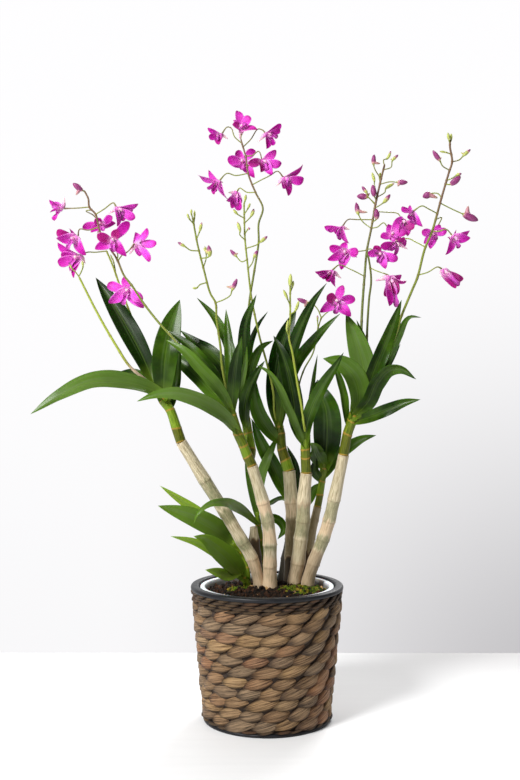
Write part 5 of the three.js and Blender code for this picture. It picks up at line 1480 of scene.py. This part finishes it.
# %% Green turning purple
spike_skin = Finish("spike_skin", roughness=0.45, specular_ior_level=0.35, subsurface_weight=0.1,
                    subsurface_radius=(0.8, 0.6, 0.3), subsurface_scale=0.0015)
blend = spike_skin.blend
ripe, kind, mark = spike_skin.parts(spike_skin.carried("tint"))
budlike, fresh = kind.between(0.5, 0.9), (kind * 2.5).under(1)
mottle = spike_skin.noise(spike_skin.place(), 500, 3)
streak = spike_skin.noise(spike_skin.stretched(spike_skin.carried("skin"), 1.6, 1.6, 0.12), 1.5, 3)
deep = blend(streak, (0.035, 0.05, 0.005), (0.13, 0.16, 0.02))
light = blend(streak, (0.17, 0.23, 0.015), (0.44, 0.5, 0.07))
young = blend(fresh, deep, light)
old = blend(streak, (0.08, 0.035, 0.025), (0.24, 0.15, 0.07))
bud_young = blend(streak, (0.26, 0.34, 0.04), (0.62, 0.64, 0.2))
bud_old = blend(streak, (0.13, 0.01, 0.07), (0.4, 0.075, 0.26))
stems_only = blend((ripe + (mottle - 0.5) * 0.5).between(0.1, 0.9), young, old)
stems_only = blend(mark.under(1) * 0.4, stems_only, (0.22, 0.13, 0.06))
stems_only = blend(mark.between(1.2, 2.0) * 0.85, stems_only, (0.52, 0.38, 0.28))
riper = ripe + (mottle - 0.5) * 0.4
buds_only = blend(riper.between(0.05, 0.45), bud_young, (0.52, 0.25, 0.27))
buds_only = blend(riper.between(0.4, 0.85), buds_only, bud_old)
buds_only = blend(mark.between(0.8, 1.0) * 0.35, buds_only, (0.12, 0.02, 0.06))
spike_skin.drive("Base Color", blend(budlike, stems_only, buds_only))
spike_skin.bump(streak, 0.0003, 0.5)
print("stems, stalks and buds share", spike_skin.material.name)

# %% [markdown]
# ## Blooms
#
# A bloom has three sepals and two petals. The two side sepals are the broadest, and their feet run back into
# the chin, a pale blunt spur below the end of the stalk. The lip folds up round the column at its foot,
# narrows, and flares again at its end. The column is a short pale rod with a rounded cap.
#
# It is the way each bloom turns and opens that makes a spray look alive, so every bloom has its own list of
# tips: the upper sepal, the two petals and the two side sepals. A tip says where it is seen. How deep it
# lies follows from the length of a sepal: it comes forward, or goes back where the third number is -1. A
# fourth number makes it darker: on a sepal or petal, that is painted shade for one turned from the light.

# %% Where the blooms are
# Spike, middle, the way it faces, size, the stalk's way from the stem, the end of the chin if it is seen,
# the lip's tip, and the five tips.
BLOOMS = [
    (3, (-198, 484, -30), (-0.85, -0.4, 0.0), 0.95,
     [(-169, 485, -30), (-180, 484, -30)], (-193, 495), (-204, 487),
     [(-203, 472), (-207, 480), (-201, 477, -1), (-208, 492), (-204, 489, -1)]),
    (3, (-140, 482, -38), (0.65, -0.45, -0.6), 1.05,
     [(-163, 478, -29), (-155, 483, -32), (-146, 489, -35)], (-151, 479), (-138, 474),
     [(-122, 488), (-125, 474), (-127, 483, -1), (-142, 466), (-136, 471, -1)]),
    (3, (-158, 469, -10), (-0.1, -0.9, 0.15), 0.95,
     [(-168, 481, -30), (-172, 481, -16), (-165, 477, -3)], (-162, 459), (-155, 462),
     [(-164, 474, 1, 0.5), (-147, 476), (-176, 466), (-144, 470, -1), (-168, 461)]),
    (3, (-147, 453, -46), (0.0, -0.97, -0.1), 1.05,
     [(-142, 435, -31), (-142, 440, -33), (-145, 448, -36)], None, (-146, 442, 1, 1),
     [(-142, 464, 1, 0.9), (-131, 471), (-162, 458, 1, 0.9), (-134, 438), (-164, 445)]),
    (3, (-184, 455, -23), (-0.55, -0.7, -0.35), 1.05,
     [(-160, 466, -29), (-170, 463, -28), (-178, 464, -27)], None, (-189, 445),
     [(-188, 464, -1), (-201, 462, -1, 0.8), (-177, 447, -1), (-201, 454), (-173, 439)]),
    (2, (-181, 437, -5), (-0.7, -0.55, -0.45), 1.1,
     [(-153, 443, 10), (-163, 442, 7), (-171, 442, 3)], (-173, 431), (-187, 429),
     [(-200, 451), (-200, 431), (-197, 439, -1), (-185, 417, 1, 0.3), (-189, 423, -1)]),
    (3, (-122, 450, -34), (0.55, 0.75, 0.1), 1.05,
     [(-142, 434, -31), (-138, 439, -33), (-132, 443, -41)], (-131, 440), (-121, 454, -1),
     [(-104, 450, -1), (-113, 465, -1), (-111, 433, -1), (-125, 461, -1), (-121, 438, -1)]),
    (3, (-133, 405, -17), (-0.1, -0.9, -0.3), 1.1,
     [(-129, 411, -31), (-128, 411, -21), (-131, 409, -13)], None, (-137, 392),
     [(-136, 419), (-152, 412), (-118, 397), (-151, 393), (-117, 389)]),
    (4, (-24, 561, 60), (0.1, -0.8, 0.55), 1.05,
     [(-24, 549, 58)], (-26, 550), (-20, 564),
     [(-28, 578, -1), (-16, 572), (-30, 569, -1), (-9, 559, 1, 0.5), (-33, 564, 1, 0.6)]),
    (4, (-46, 553, 55), (-0.6, -0.6, -0.45), 0.8,
     [(-24, 545, 57), (-31, 552, 56), (-34, 560, 57), (-38, 561, 56)], (-37, 550), (-46, 549),
     [(-57, 560), (-56, 552), (-53, 555, -1), (-46, 544, 1, 0.6), (-50, 547, -1)]),
    (4, (2, 554, 53), (0.7, -0.5, -0.4), 0.9,
     [(-23, 542, 56), (-15, 550, 66), (-9, 559, 66), (-4, 558, 61)], (-9, 547), (10, 552, 1, 1),
     [(14, 564), (13, 559), (10, 557, -1), (6, 543), (0, 540)]),
    (4, (-23, 528, 68), (-0.15, -0.95, 0.05), 1.05,
     [(-19, 524, 53), (-8, 527, 59), (-12, 528, 73)], None, (-24, 520),
     [(-29, 539, -1), (-38, 530), (-12, 540, -1), (-12, 513), (-35, 526, -1)]),
    (4, (-3, 528, 44), (0.25, -0.85, -0.4), 1,
     [(-20, 533, 55), (-14, 534, 53), (-8, 538, 52)], (-10, 525), (-1, 520),
     [(9, 539, 1, 0.3), (14, 525), (-18, 527, 1, 0.7), (5, 515), (-6, 518, 1, 0.8)]),
    (4, (-48, 507, 41), (-0.45, -0.55, -0.65), 1,
     [(-18, 517, 51), (-30, 515, 49), (-38, 517, 47)], None, (-48, 500, 1, 1),
     [(-56, 520, -1), (-66, 515), (-58, 503), (-51, 496, 1, 0.3), (-38, 492)]),
    (4, (19, 511, 44), (0.55, -0.6, -0.5), 1.05,
     [(-13, 507, 50), (-5, 511, 50), (3, 515, 49), (10, 519, 48)], (8, 505), (19, 505),
     [(35, 525), (36, 510), (29, 518, -1), (21, 495, 1, 0.4), (16, 502, -1)]),
    (4, (-29, 496, 53), (-0.1, -0.45, -0.85), 0.9,
     [(-11, 499, 50), (-19, 499, 52), (-26, 503, 54)], (-37, 499), (-29, 487, 1, 0.6),
     [(-25, 488, -1), (-38, 490, -1), (-26, 481), (-34, 483, 1, 0.2), (-30, 484, -1)]),
    (9, (69, 463, 44), (-0.5, -0.5, -0.7), 0.95,
     [(100, 473, 51), (86, 473, 50), (77, 473, 48)], (79, 464), (70, 454, 1, 0.8),
     [(54, 466, -1), (58, 464), (63, 461, -1), (66, 456), (78, 450)]),
    (9, (75, 442, 39), (-0.35, -0.8, -0.4), 1.05,
     [(95, 444, 46), (88, 443, 43)], (86, 437), (70, 432, 1, 1),
     [(72, 451, -1), (59, 447), (87, 442), (57, 434), (70, 425)]),
    (9, (60, 422, 33), (-0.45, -0.55, -0.65), 0.95,
     [(92, 419, 41), (79, 426, 40), (69, 430, 39)], (71, 417), (59, 414),
     [(45, 423), (52, 418), (49, 419, -1), (57, 413, 1, 0.6), (65, 408)]),
    (8, (66, 395, -8), (0.0, -0.97, 0.1), 1.1,
     [(51, 379, 14), (55, 383, 8), (61, 388, 3)], None, (65, 383, 1, 0.8),
     [(72, 411), (84, 398), (57, 401, 1, 1), (80, 381), (50, 385)]),
    (9, (108, 440, 27), (0.1, -0.85, -0.35), 1,
     [(95, 445, 46), (99, 445, 38)], None, (105, 432, 1, 1),
     [(102, 448, 1, 0.9), (96, 442), (125, 435), (113, 426), (117, 433, -1)]),
    (9, (119, 459, 35), (0.1, -0.95, 0.2), 1,
     [(99, 465, 49), (105, 466, 45), (111, 470, 43)], (114, 459), (124, 455),
     [(127, 476), (108, 456), (133, 461), (116, 469, -1), (129, 449)]),
    (9, (131, 471, 38), (0.35, -0.8, -0.4), 1,
     [(102, 481, 52), (115, 480, 54), (124, 479, 53)], None, (130, 462, 1, 1),
     [(123, 473), (140, 464, 1, 0.9), (126, 460), (134, 457, 1, 0.3), (120, 466, -1)]),
    (11, (124, 449, -1), (0.25, -0.65, -0.7), 1,
     [(150, 447, -19), (141, 452, -9), (134, 455, -3)], (134, 445), (116, 445),
     [(131, 456, 1, 0.6), (108, 448, 1, 0.3), (133, 451, -1), (121, 439), (111, 444, -1)]),
    (10, (118, 415, 26), (0.3, -0.5, -0.8), 1.2,
     [(98, 427, 33), (105, 424, 30), (111, 422, 28)], (103, 415), (122, 391, 1, 0.3),
     [(128, 419, -1), (133, 414, 1, 0.3), (113, 399, -1, 0.4), (125, 401, 1, 0.9), (117, 389)]),
    (11, (137, 478, -35), (-0.4, -0.65, -0.6), 0.95,
     [(162, 479, -23), (154, 483, -29), (147, 486, -33)], None, (139, 470, 1, 1),
     [(135, 486, -1), (128, 485), (140, 468, -1), (133, 475), (148, 466)]),
    (11, (158, 459, -6), (-0.2, -0.85, -0.3), 0.9,
     [(160, 473, -22), (166, 475, -13), (163, 468, -2)], None, (162, 454, 1, 1),
     [(165, 468), (147, 462), (171, 463), (149, 450), (155, 445)]),
    (11, (179, 455, -24), (0.3, -0.7, -0.55), 1,
     [(157, 462, -21), (164, 462, -23), (170, 464, -24)], None, (182, 446, 1, 1),
     [(180, 462, -1), (193, 461, -1), (173, 455, -1), (194, 455), (170, 439)]),
    (11, (170, 423, -19), (0.6, -0.45, -0.65), 1,
     [(144, 420, -14), (153, 423, -16), (162, 428, -18)], (165, 418), (182, 411, 1, 0.9),
     [(188, 415, 1, 0.9), (184, 411, 1, 0.8), (185, 414, -1, 0.9), (180, 407, 1, 0.8),
      (174, 412, -1, 0.7)]),
]
SEPAL_LENGTH, LIP_LENGTH = 17, 10  # mm from a bloom's root to a tip
CHIN = 5.7  # mm from a bloom's middle back to the end of its stalk
ROOT = 1.4  # mm from there forward to where sepals and petals start
MOST_FORWARD, MOST_BACK = 7, 4.5  # mm that a tip may lie in front of the root and behind it
# Widths in mm, and outlines as stops of (share of the length, share of the width).
SEPAL = (8.2, [(0, 0.45), (0.12, 0.55), (0.3, 0.82), (0.5, 1.0), (0.68, 0.94), (0.84, 0.66), (0.94, 0.32),
               (1, 0)])
PETAL = (8.8, [(0, 0.3), (0.12, 0.42), (0.3, 0.74), (0.52, 0.98), (0.72, 0.98), (0.87, 0.72), (0.96, 0.36),
               (1, 0)])
SIDE_SEPAL = (10.4, [(0, 0.6), (0.1, 0.86), (0.26, 1.0), (0.46, 0.94), (0.66, 0.72), (0.84, 0.42),
                     (0.95, 0.17), (1, 0)])
LIP = (6.4, [(0, 0.35), (0.2, 0.8), (0.38, 1.0), (0.52, 0.72), (0.62, 0.66), (0.78, 0.92), (0.9, 0.7),
             (0.98, 0.3), (1, 0)])
# Radii of the column from its foot, and of the chin from inside the bloom.
COLUMN_RADII, CHIN_RADII = (1.5, 1.3, 1.2, 1.5, 0.4), (2.2, 2.4, 1.8, 1.0, 0.35)
PETAL_STEPS, PETAL_COLUMNS = 12, 6  # steps from root to tip, and faces across
LIP_STEPS, LIP_COLUMNS = 14, 8
ROD_STEPS, ROD_SIDES = 10, 12
print(len(BLOOMS), "blooms")

# %% A bloom's own frame
class Bloom:
    """Where a bloom's parts start, the way it faces, and its size in metres for each mm."""

    def __init__(self, centre, facing, size_seen):
        self.size = size_seen * (1 - centre[2] * MM / EYE.y) * MM
        self.ahead = Vector(facing).normalized()
        self.back = placed(centre) - self.ahead * CHIN * self.size
        self.root = self.back + self.ahead * ROOT * self.size

    def tip(self, length, across, up, forward=1):
        """The place that is seen there, as deep as a part of that length reaches."""
        level = self.root.y / MM
        flat = (placed((across, up, level)) - self.root).length / self.size
        most = MOST_FORWARD if forward > 0 else MOST_BACK
        rest = min(most, math.sqrt(max(0, length**2 - flat**2))) * self.size / MM
        return placed((across, up, level - forward * rest))

    def outward(self, tip):
        """Away from the bloom's axis, towards a tip."""
        reach = tip - self.root
        aside = reach - self.ahead * reach.dot(self.ahead)
        return aside.normalized() if aside.length > 0.01 * reach.length else Vector((0, 0, 1))


def midrib(bloom, tip, steps, arch, recurve):
    """Stations from the root to a tip, with the inner side towards the bloom's axis."""
    reach, outward = tip - bloom.root, bloom.outward(tip)
    bend = bloom.root + reach * 0.5 + bloom.ahead * arch * reach.length
    spots = []
    shares = [1 - (1 - i / steps) ** 1.5 for i in range(steps + 1)]
    for share in shares:
        spot = (1 - share) ** 2 * bloom.root + 2 * share * (1 - share) * bend + share**2 * tip
        spots.append(spot - bloom.ahead * recurve * max(0, share - 0.6) ** 2 * reach.length)
    stations = []
    for i, spot in enumerate(spots):
        along = (spots[min(steps, i + 1)] - spots[max(0, i - 1)]).normalized()
        inner = bloom.ahead * along.dot(outward) - outward * along.dot(bloom.ahead)
        inner = (inner - along * inner.dot(along)).normalized()
        stations.append((spot, along, inner, shares[i]))
    return stations


def petal(mould, bloom, luck, kind, tone, across, up, forward=1, dark=0.0):
    width, outline = kind
    tip = bloom.tip(SEPAL_LENGTH, across, up, forward)
    phase, sway, twist = luck.uniform(0, 6), luck.uniform(-0.5, 0.5), luck.uniform(-0.5, 0.5)
    # shade is a sepal's or petal's painted shade, with a little chance added.
    cup, shade = luck.uniform(0.12, 0.34), min(1, dark + luck.uniform(0, 0.3) ** 1.5)
    width *= luck.uniform(0.92, 1.06)
    stations = midrib(bloom, tip, PETAL_STEPS, luck.uniform(0.1, 0.2), luck.uniform(0.1, 0.6))
    size = bloom.size

    def form(share, u):
        half = max(0, width / 2 * flowing(outline, share))
        lift = cup * half * abs(u) ** 1.5 - 0.2 * math.exp(-(u / 0.16) ** 2)
        lift += 0.3 * math.sin(share * 8 + phase) * u * abs(u) * share
        lift += (sway * share + twist * share**2) * u * half
        return u * half * size, lift * size, 0.6 * (1 - 0.6 * abs(u)) * (1 - 0.4 * share) * size

    def tint(share, u, upper):
        return tone, 0.0, shade

    blade(mould, stations, PETAL_COLUMNS, form, tint)


def lip(mould, bloom, tone, across, up, forward=1, dark=0.4):
    width, outline = LIP
    size = bloom.size
    stations = midrib(bloom, bloom.tip(LIP_LENGTH, across, up, forward), LIP_STEPS, 0.3, -0.4)

    def form(share, u):
        half = max(0, width / 2 * flowing(outline, share))
        cup = 0.9 * (1 - 0.8 * max(0, (share - 0.4) / 0.6))
        rise = cup * half * u * u * 1.3
        return u * half * (1 - 0.3 * cup) * size, rise * size, 0.6 * (1 - 0.5 * abs(u)) * size

    def tint(share, u, upper):
        return tone, 0.5, dark

    blade(mould, stations, LIP_COLUMNS, form, tint)


def rod(mould, points, radii, size, tint):
    """A short round piece of a bloom. The radii are at even steps."""
    stops = [(i / (len(radii) - 1), reach * size) for i, reach in enumerate(radii)]

    def radius(length, share, turn):
        return flowing(stops, share)

    tube(mould, Way(points), ROD_STEPS, ROD_SIDES, radius, tint, closed_tip=True)


print("a bloom has 5 sepals and petals, a lip, a column and a chin")

# %% Petal flesh
petal_flesh = Finish("petal_flesh", roughness=0.5, specular_ior_level=0.16, subsurface_weight=0.3,
                     subsurface_radius=(1.0, 0.15, 0.8), subsurface_scale=0.002)
blend = petal_flesh.blend
across, _, along = petal_flesh.parts(petal_flesh.carried("skin"))
tone, part, dark = petal_flesh.parts(petal_flesh.carried("tint"))
cloud = petal_flesh.noise(petal_flesh.place(), 150, 3)
veins = petal_flesh.noise(petal_flesh.stretched(petal_flesh.carried("skin"), 2.6, 0.3, 0.6), 2.0, 2, 0.5)
ripe = (along * 0.9 + (cloud - 0.5) * 0.6 + (tone - 0.5) * 0.5).between(0.1, 0.85)
body = blend(ripe, (0.76, 0.09, 0.62), (0.44, 0.007, 0.31))
body = blend((along + (veins - 0.5) * 0.5).between(0.7, 1.02) * 0.75, body, (0.24, 0.004, 0.13))
body = blend(veins.between(0.42, 0.75) * 0.35, body, (0.34, 0.006, 0.22))
edge = across.size().between(0.72, 1.0) * (1 - along.between(0.6, 1.0))
body = blend(edge * 0.4, body, (0.86, 0.34, 0.74))
# Painted shade: the dark share, given per sepal or petal with a little chance added, turns it deep purple.
body = blend(dark * 0.85, body, (0.27, 0.004, 0.1))
foot = 1 - (along + (cloud - 0.5) * 0.2).between(0.04, 0.44)
body = blend(foot * 0.65, body, (0.84, 0.46, 0.74))
lip_colour = blend(veins.between(0.45, 0.7) * 0.7, (0.66, 0.12, 0.56), (0.2, 0.004, 0.13))
ends = (along + (veins - 0.5) * 0.4).between(0.55, 1.0)
lip_colour = blend(ends * (0.4 + dark * 0.5), lip_colour, (0.12, 0.002, 0.07))
lip_colour = blend(foot * 0.8, lip_colour, (0.88, 0.66, 0.72))
pale = blend(cloud.between(0.4, 0.65), (0.86, 0.68, 0.66), (0.74, 0.36, 0.56))
pale = blend(dark, pale, (0.62, 0.06, 0.48))
coloured = blend(part.between(0.1, 0.45), body, lip_colour)
coloured = blend(part.between(0.6, 0.95), coloured, pale)
petal_flesh.drive("Base Color", coloured)
petal_flesh.drive("Roughness", 0.45 + veins * 0.2)
petal_flesh.bump(veins, 0.0001, 0.4)
print("petals, lip and column share", petal_flesh.material.name)

# %% Growing a bloom
FUSED = {23: 22}  # a bloom that is pressed against another is one CAD node with it


def grow_bloom(number):
    _, centre, facing, size_seen, _, chin, lip_tip, tips = BLOOMS[number - 1]
    bloom = Bloom(centre, facing, size_seen)
    size, root, ahead = bloom.size, bloom.root, bloom.ahead
    luck = random.Random(100 + number)
    tone = luck.random()
    mould = Mould()
    for kind, tip in zip((SEPAL, PETAL, PETAL, SIDE_SEPAL, SIDE_SEPAL), tips):
        petal(mould, bloom, luck, kind, tone, *tip)
    lip(mould, bloom, tone, *lip_tip)
    above = bloom.outward(bloom.tip(SEPAL_LENGTH, *tips[0][:3]))
    column = [root, root + (ahead * 3 + above * 0.9) * size, root + (ahead * 5.5 + above) * size,
              root + (ahead * 6.8 + above * 0.3) * size]
    rod(mould, column, COLUMN_RADII, size, lambda length, share, turn: (tone, 1.0, 0.25))
    if chin:
        spur = placed((*chin, root.y / MM)) + Vector((0, 1.5 * MM, 0))
    else:
        spur = root - (above * 4 + ahead * 1.5) * size
    middle = root + ahead * 2.4 * size
    rod(mould, [middle, root.lerp(spur, 0.25), root.lerp(spur, 0.65), spur], CHIN_RADII, size,
        lambda length, share, turn: (tone, 1.0, max(0.0, 0.9 - share * 1.3)))
    piece = mould.made("flower_%d" % number, petal_flesh)
    if number in FUSED:
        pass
    else:
        standing_for(piece, "petal", "bloom_%d" % number)
    return bloom


blooms = [grow_bloom(number) for number in range(1, len(BLOOMS) + 1)]

# %% Growing a spike
STALK_STEP, STALK_SIDES = 1.2, 9


def stalk(mould, number, bloom, places):
    points, height = from_stem(number, places)
    points.append(bloom.back)
    way = Way(points)
    redness = 0.2 + 0.6 * random.Random(int(way.length * 1e5)).random()

    def radius(length, share, turn):
        return (STALK + 0.35 * max(0, (share - 0.75) / 0.25) ** 1.5) * MM

    def tint(length, share, turn):
        return min(1.0, 0.3 * ripened(number, height) + redness * share), 0.28, 0.0

    tube(mould, way, max(10, int(way.length / MM / STALK_STEP)), STALK_SIDES, radius, tint)
    return height


for number in range(1, len(STEMS) + 1):
    mould = Mould()
    joints = [bud(mould, *b) for b in BUDS if b[0] == number]
    joints += [stalk(mould, number, bloom, b[4]) for bloom, b in zip(blooms, BLOOMS) if b[0] == number]
    stem(mould, number, joints)
    standing_for(mould.made("flower_spike_%d" % number, spike_skin), "stem", "spike_%d" % number)

# %% [markdown]
